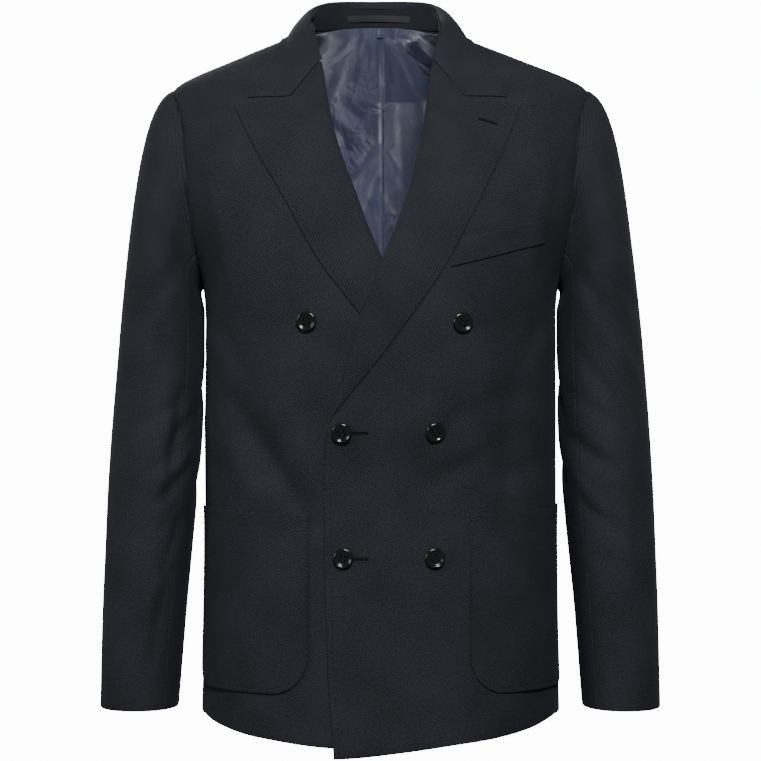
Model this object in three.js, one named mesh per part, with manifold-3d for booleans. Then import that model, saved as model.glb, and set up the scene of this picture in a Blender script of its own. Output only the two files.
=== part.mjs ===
// A navy double breasted blazer with peak lapels, buttoned, in the hollow form that it has when worn.
// Millimetres. +X is the wearer's left, +Y the wearer's back, +Z up.
// The origin is the middle of the neck opening, level with the neck ends of the shoulder seams.
import * as THREE from "three";
import Module from "manifold-3d";

const wasm = await Module();
wasm.setup();
const { Manifold } = wasm;

// A table's rows, from its column names and the values of each row
function table(names, ...rows) {
  const columns = names.split(" ");
  return rows.map((row) => Object.fromEntries(columns.map((name, i) => [name, row[i]])));
}

// Thicknesses of the layers and the gaps between them
const CLOTH = 2.2;
const LAPEL_CLOTH = 2.4;
const LINING_CLOTH = 1.0;
const LINING_TRIM = 0.03;
const LINING_EASE = 1.6;
const SEAM_GAP = 0.45;
const LAYER_GAP = 1.0;
const LAP_LOW = 2.9;
const LAP_HIGH = 9.6;

// Girth of the body form at each height: half width, depth in front and behind, and squareness
const BODY = [
  { z: 60, side: 40, front: 10, back: 56, square: 2.0 },
  { z: 30, side: 66, front: 26, back: 76, square: 2.0 },
  { z: 11, side: 75, front: 32, back: 77, square: 2.0 },
  { z: -20, side: 145.5, front: 48, back: 86, square: 2.3 },
  { z: -42, side: 198.5, front: 62.5, back: 94, square: 2.45 },
  { z: -54, side: 217.5, front: 70, back: 98, square: 2.55 },
  { z: -68, side: 220, front: 78.5, back: 103.5, square: 2.65 },
  { z: -100, side: 217, front: 95, back: 112, square: 2.8 },
  { z: -150, side: 213, front: 113, back: 120, square: 2.8 },
  { z: -200, side: 205, front: 124, back: 122, square: 2.7 },
  { z: -265, side: 187, front: 130, back: 119, square: 2.5 },
  { z: -330, side: 185, front: 129, back: 110, square: 2.35 },
  { z: -400, side: 185.5, front: 126, back: 103, square: 2.35 },
  { z: -470, side: 185.5, front: 126, back: 104, square: 2.35 },
  { z: -540, side: 185, front: 129, back: 112, square: 2.35 },
  { z: -620, side: 186, front: 133, back: 119, square: 2.35 },
  { z: -700, side: 188.5, front: 137, back: 123, square: 2.35 },
  { z: -760, side: 189.5, front: 139, back: 125, square: 2.35 },
];

// How far the neck end of the garment leans to the wearer's right
const LEAN = [
  { z: 60, x: -5 },
  { z: 0, x: -5 },
  { z: -60, x: 0 },
  { z: -100, x: 0 },
];

// Points along half a ring of the form
const RING_STEPS = 160;

// Heights that bound the panels
const NECK_POINT = 11;
const SHOULDER_POINT = -54;
const ARMHOLE_FOOT = -265;
const NAPE_RISE = 13;
const SIDE_HEM = -704;
const BACK_HEM = -706;
const HEM_BAND_TOP = -630;

// The armhole is an oval on the body form
const ARMHOLE_MIDDLE = (SHOULDER_POINT + ARMHOLE_FOOT) / 2;
const ARMHOLE_HALF = (SHOULDER_POINT - ARMHOLE_FOOT) / 2;
const ARMHOLE_FRONT = 58;
const ARMHOLE_BACK = 64;
const FRONT_SEAM_Y = -44;
const BACK_SEAM_Y = 50;

// Middle line of the double breasted front, and half widths measured from it.
// roll is where the cloth turns back into the lapel, and below the lapel it is the front edge.
const FRONT_MIDDLE = [
  { z: 11, x: -4 },
  { z: -80, x: -3 },
  { z: -128, x: -1 },
  { z: -168, x: 1.5 },
  { z: -224, x: 2 },
  { z: -286, x: 5 },
  { z: -340, x: 6.5 },
  { z: -402, x: 8 },
  { z: -760, x: 8 },
];
const ROLL = [
  { z: 11, half: 66 },
  { z: -20, half: 60 },
  { z: -43, half: 55 },
  { z: -102, half: 45.5 },
  { z: -164, half: 28.5 },
  { z: -224, half: 6.5 },
  { z: -283, half: -20.5 },
  { z: -327, half: -35 },
  { z: -369, half: -47 },
  { z: -402, half: -57 },
  { z: -430, half: -63 },
  { z: -500, half: -64.5 },
  { z: -640, half: -61 },
  { z: -700, half: -55 },
  { z: -760, half: -52 },
];
const LAPEL_EDGE = [
  { z: -79, half: 147 },
  { z: -128, half: 125 },
  { z: -168, half: 103.5 },
  { z: -218, half: 77 },
  { z: -250, half: 58 },
  { z: -286, half: 32 },
  { z: -338, half: -7.5 },
  { z: -370, half: -34 },
  { z: -392, half: -52 },
];
const LAPEL_FOOT = -399;
const LAPEL_BULGE = 3.0;
const PEAK = { half: 147, z: -79 };
const GORGE_CORNER = { half: 88, z: -71.5 };
const GORGE_TOP = -30;
const COLLAR_GAP = 1.6;

// Hem height along the front, by distance from the middle of the body
const HEM = {
  left: [
    { x: -60, z: -740.5 },
    { x: -21, z: -738 },
    { x: 30, z: -732 },
    { x: 72, z: -726.5 },
    { x: 121, z: -721 },
    { x: 157, z: -714.5 },
    { x: 182, z: -706.5 },
  ],
  right: [
    { x: -80, z: -718 },
    { x: -20, z: -725.5 },
    { x: 47, z: -729 },
    { x: 120, z: -722 },
    { x: 144, z: -718.5 },
    { x: 172, z: -711.5 },
    { x: 184, z: -706.5 },
  ],
};

// Drag folds of the fronts: a soft trough from one point to another, seen from the front
const FOLDS = [
  { fromX: -150, fromZ: -385, toX: -72, toZ: -505, width: 17, depth: 4.2 },
  { fromX: 92, fromZ: -440, toX: 40, toZ: -472, width: 14, depth: 2.4 },
  { fromX: 152, fromZ: -375, toX: 90, toZ: -390, width: 18, depth: 2.6 },
  { fromX: -20, fromZ: -590, toX: 20, toZ: -700, width: 26, depth: 2.0 },
  { fromX: 150, fromZ: -600, toX: 164, toZ: -700, width: 16, depth: 2.0 },
  { fromX: -164, fromZ: -560, toX: -168, toZ: -690, width: 14, depth: 2.0 },
];

// Sections of the wearer's left sleeve below the armhole, level rings. CAP_START is the share of the
// sleeve's length, from the cuff, where the cap begins.
const SLEEVE = [
  { z: -290, inner: 187, outer: 274.5, front: -62, back: 76 },
  { z: -350, inner: 187, outer: 279.5, front: -65, back: 70 },
  { z: -413, inner: 188.3, outer: 284, front: -68, back: 60 },
  { z: -477, inner: 192.6, outer: 287, front: -72, back: 50 },
  { z: -541, inner: 198, outer: 289, front: -75, back: 40 },
  { z: -604, inner: 204, outer: 291.2, front: -76, back: 32 },
  { z: -701, inner: 211.8, outer: 293.3, front: -75, back: 27 },
];
const BICEP = -290;
const CUFF = -701;
const SLEEVE_SQUARE = 2.2;
const CAP_START = 0.62;
const CAP_REACH = 34;
const SLEEVE_STAND_OFF = 1.4;
const FRONT_SLEEVE_SEAM = 132;
const BACK_SLEEVE_SEAM = 238;

// Creases across the sleeve at the elbow: angle round the sleeve, height, slant, width and depth
const ELBOW_CREASES = [
  { angle: 100, z: -395, slant: 0.5, width: 12, depth: 3.2 },
  { angle: 115, z: -440, slant: 0.55, width: 11, depth: 3.0 },
  { angle: 250, z: -380, slant: -0.4, width: 13, depth: 2.6 },
];

// The collar from the nape to its front end: the crest of its fold and the edge of its fall,
// measured from the middle line. foot is where the stand meets the back's neck edge, as a share of
// that edge, roll is how far the fold swells before the cloth turns down, and bulge how far the fall
// swells below it.
const COLLAR = table(
  "station crestX crestY crestZ edgeX edgeY edgeZ foot roll bulge",
  [0, 0, 79, 54, 0, 78, 12, 0, 6.5, 5],
  [1, 30, 75.5, 53.5, 37, 76, 11, 0.25, 6.5, 5],
  [2, 51, 61, 50, 70, 60, 7, 0.46, 8, 9],
  [3, 62.5, 42, 42, 86, 40, 3, 0.65, 9, 13],
  [4, 66, 20, 30, 94, 18, 1, 0.83, 9, 14],
  [5, 66.5, 0, 19, 98, -6, -3, 1, 8, 12],
  [6, 64.5, -20, 5, 103.5, -27, -14, 1, 6, 8],
  [7, 61, -40, -12, 114, -46, -36, 1, 4.5, 6],
  [8, 57.5, -52, -25.5, 133, -70, -70.5, 1, 3.5, 4.5],
);
const COLLAR_END = 8;
const STAND_END = 4.6;
const STAND_CLOTH = 1.6;
const HANGER_LOOP = { station: 1.22, foot: 0.2, head: 0.5, thick: 0.8 };

// Pockets: the two patches at the hips, and the breast welt by its corners
const HIP_POCKET = { half: 81, width: 172, top: -497, sideTop: -491, bottom: -677, corner: 40 };
const HIP_POCKET_GAP = 0.9;
const WELT = [
  { x: 69, z: -247.5 },
  { x: 166, z: -221 },
  { x: 166, z: -196.5 },
  { x: 81, z: -219.5 },
];
const WELT_GAP = 0.6;

// Worked buttonholes: the middle, half length and half width of each
const BUTTONHOLE = { half: 8.5, narrow: 1.1, thick: 0.6 };
const BUTTONHOLE_PLACES = [
  { name: "buttonhole_middle", x: -22, z: -413.5 },
  { name: "buttonhole_bottom", x: -22, z: -540 },
];
const LAPEL_BUTTONHOLE = { fromX: 100.5, fromZ: -94, toX: 119, toZ: -99.5 };

// Buttons: six on the front, two of them buttoned
const BUTTON = { radius: 10.2, thick: 3.6, rim: 1.4, well: 1.0, hole: 1.0, spread: 2.1 };
const BUTTON_PLACES = [
  { name: "button_top_right", x: -74, z: -301.5, side: "right" },
  { name: "button_top_left", x: 80, z: -302, side: "left" },
  { name: "button_middle_right", x: -38, z: -413.5, side: "left" },
  { name: "button_middle_left", x: 54, z: -412.5, side: "left" },
  { name: "button_bottom_right", x: -37, z: -539.5, side: "left" },
  { name: "button_bottom_left", x: 54, z: -539.5, side: "left" },
];
const SHANK = 1.2;

const NAVY = { color: 0x14161f, roughness: 0.85, metalness: 0 };
const LINING = { color: 0x333a55, roughness: 0.45, metalness: 0 };
const BUTTON_BLACK = { color: 0x08080a, roughness: 0.15, metalness: 0 };
const THREAD = { color: 0x0c0d12, roughness: 0.8, metalness: 0 };
const LOOP_GREY = { color: 0x3a3a42, roughness: 0.4, metalness: 0 };

// Tables, read with a smooth curve through their rows
function read(table, key, value, at) {
  const rising = table[table.length - 1][key] > table[0][key];
  const rows = rising ? table : [...table].reverse();
  const last = rows.length - 1;
  if (at <= rows[0][key]) return rows[0][value];
  if (at >= rows[last][key]) return rows[last][value];
  let i = 0;
  while (at > rows[i + 1][key]) i += 1;
  const slope = (k) => {
    const lo = Math.max(k - 1, 0);
    const hi = Math.min(k + 1, last);
    return (rows[hi][value] - rows[lo][value]) / (rows[hi][key] - rows[lo][key]);
  };
  const step = rows[i + 1][key] - rows[i][key];
  const t = (at - rows[i][key]) / step;
  const t2 = t * t;
  const t3 = t2 * t;
  return (
    (2 * t3 - 3 * t2 + 1) * rows[i][value] +
    (t3 - 2 * t2 + t) * step * slope(i) +
    (3 * t2 - 2 * t3) * rows[i + 1][value] +
    (t3 - t2) * step * slope(i + 1)
  );
}

// 0 below the first value, 1 above the second, and smooth between
function ease(from, to, value) {
  const t = Math.min(1, Math.max(0, (value - from) / (to - from)));
  return t * t * (3 - 2 * t);
}

const mix = (a, b, t) => a + (b - a) * t;

// Half a ring of the body form at one height, from the middle of the front to the middle of the back
const rings = new Map();
function ring(z) {
  const key = z.toFixed(3);
  if (!rings.has(key)) {
    const side = read(BODY, "z", "side", z);
    const power = 2 / read(BODY, "z", "square", z);
    const points = [];
    let length = 0;
    for (let i = 0; i <= RING_STEPS; i++) {
      const turn = (Math.PI * i) / RING_STEPS;
      const depth = read(BODY, "z", turn < Math.PI / 2 ? "front" : "back", z);
      const x = side * Math.sin(turn) ** power;
      const y = -Math.sign(Math.cos(turn)) * depth * Math.abs(Math.cos(turn)) ** power;
      if (i) length += Math.hypot(x - points[i - 1].x, y - points[i - 1].y);
      points.push({ x, y, length });
    }
    rings.set(key, points);
  }
  return rings.get(key);
}

// The place on a ring where one of its columns reaches a value: its point and its distance round
function ringAt(z, column, value) {
  const points = ring(z);
  let i = 0;
  while (i < points.length - 2 && points[i + 1][column] < value) i += 1;
  const t = (value - points[i][column]) / (points[i + 1][column] - points[i][column]);
  const x = mix(points[i].x, points[i + 1].x, t);
  const y = mix(points[i].y, points[i + 1].y, t);
  return { x, y, length: mix(points[i].length, points[i + 1].length, t) };
}
const halfGirth = (z) => ring(z)[RING_STEPS].length;
const lengthAtX = (z, x) => Math.sign(x) * ringAt(z, "x", Math.abs(x)).length;
const lengthAtY = (z, y) => ringAt(z, "y", y).length;

// How deep the drag folds are at a place on the front
function foldDepth(x, z) {
  let depth = 0;
  for (const f of FOLDS) {
    const dx = f.toX - f.fromX;
    const dz = f.toZ - f.fromZ;
    const along = ((x - f.fromX) * dx + (z - f.fromZ) * dz) / (dx * dx + dz * dz);
    const t = Math.min(1, Math.max(0, along));
    const away = Math.hypot(x - f.fromX - dx * t, z - f.fromZ - dz * t) / f.width;
    depth += f.depth * Math.exp(-away * away) * Math.sin(Math.PI * mix(0.15, 0.85, t));
  }
  return depth;
}

// How far a point is outside the form, and which way is out
function offForm(p) {
  const value = (x, y, z) => {
    const n = read(BODY, "z", "square", z);
    const side = Math.abs(x - read(LEAN, "z", "x", z)) / read(BODY, "z", "side", z);
    const depth = Math.abs(y) / read(BODY, "z", y < 0 ? "front" : "back", z);
    return (side ** n + depth ** n) ** (1 / n);
  };
  const step = 0.05;
  const out = new THREE.Vector3(
    value(p.x + step, p.y, p.z) - value(p.x - step, p.y, p.z),
    value(p.x, p.y + step, p.z) - value(p.x, p.y - step, p.z),
    value(p.x, p.y, p.z + step) - value(p.x, p.y, p.z - step),
  ).divideScalar(2 * step);
  const rise = out.length();
  return { distance: (value(p.x, p.y, p.z) - 1) / rise, out: out.divideScalar(rise) };
}

// A point moved out until it is at least so far from the form
function standOff(p, least) {
  for (let turn = 0; turn < 3; turn++) {
    const { distance, out } = offForm(p);
    if (distance < least) p.addScaledVector(out, least - distance);
  }
  return p;
}

// A point of the body form: length is the distance round from the middle of the front, and to the
// wearer's left it is positive. out is how far the point stands off the form, and
// what bridges the drag folds isn't folded.
function form(length, z, out, folded = true) {
  const hand = length < 0 ? -1 : 1;
  const at = ringAt(z, "length", Math.min(Math.abs(length), halfGirth(z)));
  const push = out - (folded && at.y < 0 ? foldDepth(hand * at.x, z) * ease(0, 30, -at.y) : 0);
  const p = new THREE.Vector3(hand * at.x + read(LEAN, "z", "x", z), at.y, z);
  return p.addScaledVector(offForm(p).out, push);
}

// A closed wall over a grid of points. faces(u, v) gives its outer and inner point.
function wall(acrossValues, upValues, faces) {
  const position = [];
  const columns = acrossValues.length;
  const rows = upValues.length;
  for (const v of upValues) {
    for (const u of acrossValues) {
      const { outer, inner } = faces(u, v);
      position.push(...outer.toArray(), ...inner.toArray());
    }
  }
  const at = (i, j, face) => 2 * (j * columns + i) + face;
  const index = [];
  const quad = (a, b, c, d) => index.push(a, b, c, a, c, d);
  for (let j = 0; j < rows - 1; j++) {
    for (let i = 0; i < columns - 1; i++) {
      quad(at(i, j, 0), at(i + 1, j, 0), at(i + 1, j + 1, 0), at(i, j + 1, 0));
      quad(at(i, j, 1), at(i, j + 1, 1), at(i + 1, j + 1, 1), at(i + 1, j, 1));
    }
  }
  for (let i = 0; i < columns - 1; i++) {
    const top = rows - 1;
    quad(at(i, 0, 0), at(i, 0, 1), at(i + 1, 0, 1), at(i + 1, 0, 0));
    quad(at(i, top, 0), at(i + 1, top, 0), at(i + 1, top, 1), at(i, top, 1));
  }
  for (let j = 0; j < rows - 1; j++) {
    const end = columns - 1;
    quad(at(0, j, 0), at(0, j + 1, 0), at(0, j + 1, 1), at(0, j, 1));
    quad(at(end, j, 0), at(end, j, 1), at(end, j + 1, 1), at(end, j + 1, 0));
  }
  const geometry = new THREE.BufferGeometry();
  geometry.setAttribute("position", new THREE.Float32BufferAttribute(position, 3));
  geometry.setIndex(index);
  return facingOut(geometry);
}

// The same geometry with its faces turned so that they point out
function facingOut(geometry) {
  const p = geometry.attributes.position;
  const index = geometry.index.array;
  const corner = [0, 1, 2].map(() => new THREE.Vector3());
  let volume = 0;
  for (let i = 0; i < index.length; i += 3) {
    corner.forEach((c, k) => c.fromBufferAttribute(p, index[i + k]));
    volume += corner[0].dot(corner[1].cross(corner[2]));
  }
  if (volume < 0) {
    for (let i = 0; i < index.length; i += 3) {
      [index[i + 1], index[i + 2]] = [index[i + 2], index[i + 1]];
    }
  }
  return geometry;
}

// A wall whose outer face is a surface, and whose inner face is that surface moved in square to it.
// thick is positive where across, then up, run anticlockwise as seen from outside.
function sheet(acrossValues, upValues, surface, thick, step = 0.004) {
  const normalAt = (u, v) => {
    const [u0, u1] = [Math.max(acrossValues[0], u - step), Math.min(acrossValues.at(-1), u + step)];
    const [v0, v1] = [Math.max(upValues[0], v - step), Math.min(upValues.at(-1), v + step)];
    const across = surface(u1, v).sub(surface(u0, v));
    const up = surface(u, v1).sub(surface(u, v0));
    return across.cross(up).normalize();
  };
  return wall(acrossValues, upValues, (u, v) => {
    const outer = surface(u, v);
    return { outer, inner: outer.clone().addScaledVector(normalAt(u, v), -thick) };
  });
}

const spaced = (count, from = 0, to = 1) =>
  Array.from({ length: count + 1 }, (_, i) => mix(from, to, i / count));

// Heights of the rows that every body panel shares, from the hem up
const LOW_ROWS = [
  ...spaced(3, SIDE_HEM, HEM_BAND_TOP),
  ...spaced(7, HEM_BAND_TOP, ARMHOLE_FOOT).slice(1),
];
const HIGH_ROWS = [
  ...spaced(5, ARMHOLE_FOOT, -110).slice(1),
  -86,
  -69,
  -59,
  SHOULDER_POINT,
  -38,
  -20,
  -4,
  NECK_POINT,
];
const BODY_ROWS = [...LOW_ROWS, ...HIGH_ROWS];

// The front edge and roll line of one front: hand is 1 for the wearer's left, -1 for the right
function rollX(hand, z) {
  return read(FRONT_MIDDLE, "z", "x", z) + hand * read(ROLL, "z", "half", z);
}

// The sides of the armhole at one height, as y on the form
function armholeY(z, reach) {
  const share = (z - ARMHOLE_MIDDLE) / ARMHOLE_HALF;
  return reach * Math.sqrt(Math.max(0, 1 - share * share));
}

// Where the fronts and the backs end: the side seam, then the armhole, then the shoulder seam
function outerY(z, seam, reach) {
  if (z >= SHOULDER_POINT) return 0;
  const hole = armholeY(z, reach);
  return Math.sign(seam) * (z > ARMHOLE_MIDDLE ? hole : Math.max(Math.abs(seam), hole));
}

// How far the wearer's left front stands off the form, over the right front and its lapel
function lapOut(hand, x, z) {
  if (hand < 0) return 0;
  const overLapel = ease(-455, -400, z);
  return (1 - ease(80, 150, x)) * ease(-140, -225, z) * mix(LAP_LOW, LAP_HIGH, overLapel);
}

// Height of a row of the body with the hem's own line at its foot
function hemmed(z, hem) {
  if (z >= HEM_BAND_TOP) return z;
  return HEM_BAND_TOP + ((z - HEM_BAND_TOP) * (hem - HEM_BAND_TOP)) / (SIDE_HEM - HEM_BAND_TOP);
}

// A point on the outer face of a front, out of the form by its layer
function frontPoint(hand, x, z, out = 0) {
  const lean = read(LEAN, "z", "x", z);
  return form(lengthAtX(z, x - lean), z, lapOut(hand, hand * x, z) + out);
}

function front(hand) {
  const hem = hand > 0 ? HEM.left : HEM.right;
  const outer = (u, row) => {
    const lean = read(LEAN, "z", "x", row);
    const inner = hand * lengthAtX(row, rollX(hand, row) - lean);
    const end = lengthAtY(row, outerY(row, FRONT_SEAM_Y, ARMHOLE_FRONT)) - SEAM_GAP / 2;
    const length = mix(inner + SEAM_GAP / 2, end, u);
    const x = Math.sign(length) * ringAt(row, "length", Math.abs(length)).x;
    const z = hemmed(row, read(hem, "x", "z", x));
    return form(hand * length, z, lapOut(hand, x, z));
  };
  const surface = (u, v) => outer(u, BODY_ROWS[0] + v * (NECK_POINT - BODY_ROWS[0]));
  const up = BODY_ROWS.map((z) => (z - BODY_ROWS[0]) / (NECK_POINT - BODY_ROWS[0]));
  return sheet(spaced(13), up, surface, hand * CLOTH);
}

function sidePanel(hand) {
  const surface = (u, v) => {
    const y = mix(FRONT_SEAM_Y, BACK_SEAM_Y, u);
    const reach = y < 0 ? ARMHOLE_FRONT : ARMHOLE_BACK;
    const top = ARMHOLE_MIDDLE - ARMHOLE_HALF * Math.sqrt(1 - (y / reach) ** 2);
    const foot = mix(SIDE_HEM - 3, BACK_HEM, u);
    const z = mix(foot, top - SEAM_GAP, v);
    const shift = mix(SEAM_GAP / 2, -SEAM_GAP / 2, u);
    return form(hand * (lengthAtY(z, y) + shift), z, 0);
  };
  return sheet(spaced(4), spaced(14), surface, hand * CLOTH);
}

function backSurface(hand, out, foot, top, edgeIn, shoulderEase = 0) {
  return (u, v) => {
    const row = mix(foot, top, v);
    const rise = NAPE_RISE * ease(SHOULDER_POINT, NECK_POINT, row) * Math.cos((u * Math.PI) / 2) ** 2;
    const z = row + rise;
    const middle = halfGirth(z) - edgeIn;
    const end = lengthAtY(z, outerY(z, BACK_SEAM_Y, ARMHOLE_BACK)) + edgeIn;
    const nearShoulder = Math.exp(-(((z - SHOULDER_POINT + 10) / 30) ** 2));
    return form(hand * mix(middle, end, u), z, out - shoulderEase * nearShoulder);
  };
}

function back(hand) {
  const rows = BODY_ROWS.map((z) => (z - BODY_ROWS[0]) / (NECK_POINT - BODY_ROWS[0]));
  const surface = backSurface(hand, 0, BACK_HEM, NECK_POINT, SEAM_GAP / 2);
  return sheet(spaced(7), rows, surface, -hand * CLOTH);
}

function backLining(hand) {
  const inset = -(CLOTH + LAYER_GAP + 0.3);
  const rows = BODY_ROWS.slice(1);
  const up = rows.map((z) => (z - rows[0]) / (NECK_POINT - rows[0]));
  const surface = backSurface(hand, inset, rows[0], NECK_POINT, SEAM_GAP / 2, LINING_EASE);
  const across = spaced(7);
  across[0] = LINING_TRIM / 3;
  across[7] = 1 - LINING_TRIM;
  return sheet(across, up, surface, -hand * LINING_CLOTH);
}

// Sleeves: angle 0 is the outside of the arm and the top of the armhole, 90 the front, 180 the inside
function armholePoint(angle) {
  const turn = (angle * Math.PI) / 180;
  const z = ARMHOLE_MIDDLE + ARMHOLE_HALF * Math.cos(turn);
  const reach = Math.sin(turn) > 0 ? ARMHOLE_FRONT : ARMHOLE_BACK;
  const y = -reach * Math.sin(turn);
  return form(lengthAtY(z, y), z, 0).add(new THREE.Vector3(SLEEVE_STAND_OFF, 0, 0));
}

function sleeveRing(angle, z) {
  const turn = (angle * Math.PI) / 180;
  const inner = read(SLEEVE, "z", "inner", z);
  const outer = read(SLEEVE, "z", "outer", z);
  const front = read(SLEEVE, "z", "front", z);
  const back = read(SLEEVE, "z", "back", z);
  const rounded = (value) => Math.sign(value) * Math.abs(value) ** (2 / SLEEVE_SQUARE);
  return new THREE.Vector3(
    (inner + outer) / 2 + ((outer - inner) / 2) * rounded(Math.cos(turn)),
    (front + back) / 2 - ((back - front) / 2) * rounded(Math.sin(turn)),
    z,
  );
}

function creaseDepth(angle, z) {
  let depth = 0;
  for (const c of ELBOW_CREASES) {
    const away = (z - c.z - c.slant * (angle - c.angle)) / c.width;
    const near = (angle - c.angle) / 38;
    depth += c.depth * Math.exp(-away * away - near * near);
  }
  return depth;
}

// v runs from the cuff at 0 to the armhole at 1
function sleevePoint(angle, v) {
  if (v <= CAP_START) {
    const z = mix(CUFF, BICEP, v / CAP_START);
    const p = sleeveRing(angle, z);
    const middle = sleeveRing(0, z).add(sleeveRing(180, z)).multiplyScalar(0.5);
    const inward = middle.sub(p).setZ(0).normalize();
    return p.addScaledVector(inward, creaseDepth(angle, z));
  }
  const t = 1 - (v - CAP_START) / (1 - CAP_START);
  const start = armholePoint(angle);
  const end = sleeveRing(angle, BICEP);
  const span = start.distanceTo(end);
  const turn = (angle * Math.PI) / 180;
  const lead = new THREE.Vector3(1, -0.5 * Math.sin(turn), -0.32 - 0.45 * (1 - Math.cos(turn)))
    .normalize()
    .multiplyScalar(Math.min(CAP_REACH, 0.3 * span));
  const one = start.clone().add(lead);
  const drop = new THREE.Vector3(-0.052 * Math.max(0, Math.cos(turn)), 0, 0.48);
  const two = end.clone().addScaledVector(drop, span);
  return new THREE.CubicBezierCurve3(start, one, two, end).getPoint(t);
}

function sleeve(hand, fromAngle, toAngle, columns) {
  const trim = 0.25;
  const surface = (u, v) => {
    const p = sleevePoint(mix(fromAngle + trim, toAngle - trim, u), v);
    return hand > 0 ? p : p.setX(-p.x);
  };
  const up = [...spaced(9, 0, CAP_START), ...spaced(8, CAP_START, 1).slice(1)];
  return sheet(spaced(columns), up, surface, hand > 0 ? -CLOTH : CLOTH);
}

// The lapel lies on its front from the roll line to its own edge
function lapelPoint(hand, u, v, out) {
  const at = lapelOutline(hand, u, v);
  const bulge = LAPEL_BULGE * Math.sin(Math.PI * u ** 0.6) * ease(0, 0.25, v);
  return frontPoint(hand, at.x, at.y, out + bulge);
}

function lapelOutline(hand, u, v) {
  const middle = (z) => read(FRONT_MIDDLE, "z", "x", z);
  const rollZ = mix(LAPEL_FOOT, GORGE_TOP, v);
  const roll = new THREE.Vector2(rollX(hand, rollZ), rollZ);
  const edgeZ = mix(LAPEL_FOOT + 10, PEAK.z, v);
  const edge = new THREE.Vector2(middle(edgeZ) + hand * read(LAPEL_EDGE, "z", "half", edgeZ), edgeZ);
  const corner = 0.42;
  const place = (spot) => new THREE.Vector2(middle(spot.z) + hand * spot.half, spot.z);
  const [bend, peak] = [GORGE_CORNER, PEAK].map(place);
  const start = new THREE.Vector2(rollX(hand, GORGE_TOP), GORGE_TOP);
  const top = u < corner
    ? start.clone().lerp(bend, u / corner)
    : bend.clone().lerp(peak, (u - corner) / (1 - corner));
  const straight = start.clone().lerp(peak, u);
  return roll.lerp(edge, u).addScaledVector(top.sub(straight), v ** 3);
}

function lapel(hand) {
  const surface = (u, v) => lapelPoint(hand, u, v, LAYER_GAP + LAPEL_CLOTH);
  return sheet([0, 0.08, 0.2, 0.42, 0.6, 0.8, 1], spaced(18), surface, hand * LAPEL_CLOTH);
}

// The lapel's buttonhole, worked on the wearer's left lapel only
function lapelButtonhole() {
  const b = LAPEL_BUTTONHOLE;
  const surface = (u, v) => {
    const x = mix(b.fromX, b.toX, u) + (v - 0.5) * 0.6;
    const z = mix(b.fromZ, b.toZ, u) + (v - 0.5) * 2 * BUTTONHOLE.narrow;
    const out = LAYER_GAP + LAPEL_CLOTH + LAPEL_BULGE - 0.6 + BUTTONHOLE.thick;
    return frontPoint(1, x, z, out);
  };
  return sheet(spaced(4), spaced(1), surface, BUTTONHOLE.thick);
}

// A place on the collar, from the wearer's right end to the left one, and from crest to edge
function collarPart(station, part) {
  const at = Math.abs(station);
  const value = (axis) => read(COLLAR, "station", part + axis, at);
  return new THREE.Vector3(value("X"), value("Y"), value("Z"));
}

const frontDepth = (x, z) => frontPoint(-1, x, z).y;

function collarPoint(station, w) {
  const hand = station < 0 ? -1 : 1;
  const at = Math.abs(station);
  const crest = collarPart(at, "crest");
  const edge = collarPart(at, "edge");
  const ahead = collarPart(Math.min(COLLAR_END, at + 0.3), "crest");
  const along = ahead.sub(collarPart(Math.max(0, at - 0.3), "crest"));
  if (at < 0.3) along.set(1, 0, 0);
  const outward = along.cross(edge.clone().sub(crest)).normalize();
  const roll = read(COLLAR, "station", "roll", at);
  const curve = new THREE.CubicBezierCurve3(
    crest,
    crest.clone().addScaledVector(outward, roll),
    edge.clone().lerp(crest, 0.45).addScaledVector(outward, read(COLLAR, "station", "bulge", at)),
    edge,
  );
  const p = curve.getPoint(w);
  p.x = hand * p.x + read(FRONT_MIDDLE, "z", "x", p.z);
  const end = ease(5, COLLAR_END, at) ** 2;
  if (end > 0) {
    const share = 1.65 * (1 - w) * w * w + w ** 3;
    const corner = { x: GORGE_CORNER.half + 0.6, z: GORGE_CORNER.z + COLLAR_GAP };
    const bend = 0.45;
    const bent = (from, by, to) =>
      share < bend ? mix(from, by, share / bend) : mix(by, to, (share - bend) / (1 - bend));
    const x = p.x + hand * end * (bent(crest.x, corner.x, edge.x) - mix(crest.x, edge.x, share));
    const z = p.z + end * (bent(crest.z, corner.z, edge.z) - mix(crest.z, edge.z, share));
    p.y += frontDepth(-Math.abs(x), z) - frontDepth(-Math.abs(p.x), p.z);
    p.x = x;
    p.z = z;
  }
  return standOff(p, w < 0.05 && at < 5 ? 0 : CLOTH + LAYER_GAP);
}

function collar() {
  const surface = (u, w) => collarPoint(mix(-COLLAR_END, COLLAR_END, u), w);
  return sheet(spaced(28), [0, 0.1, 0.22, 0.38, 0.57, 0.78, 1], surface, CLOTH);
}

// The stand inside the collar, from the neck edge of the back up to the fold
function standPoint(station, w) {
  const hand = station < 0 ? -1 : 1;
  const at = Math.abs(station);
  const share = read(COLLAR, "station", "foot", at);
  const foot = backSurface(hand, 0, BACK_HEM, NECK_POINT, 0)(share, 1);
  foot.z += 1;
  const head = collarPart(at, "crest");
  head.x = hand * head.x + read(FRONT_MIDDLE, "z", "x", head.z);
  head.z -= CLOTH + 2.2;
  const inward = new THREE.Vector3(-foot.x, -foot.y, 0).normalize();
  foot.addScaledVector(inward, STAND_CLOTH);
  head.addScaledVector(inward, 1.2);
  return foot.lerp(head, w);
}

function collarStand() {
  const surface = (u, w) => standPoint(mix(-STAND_END, STAND_END, u), w);
  return sheet(spaced(20), spaced(2), surface, STAND_CLOTH);
}

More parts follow.
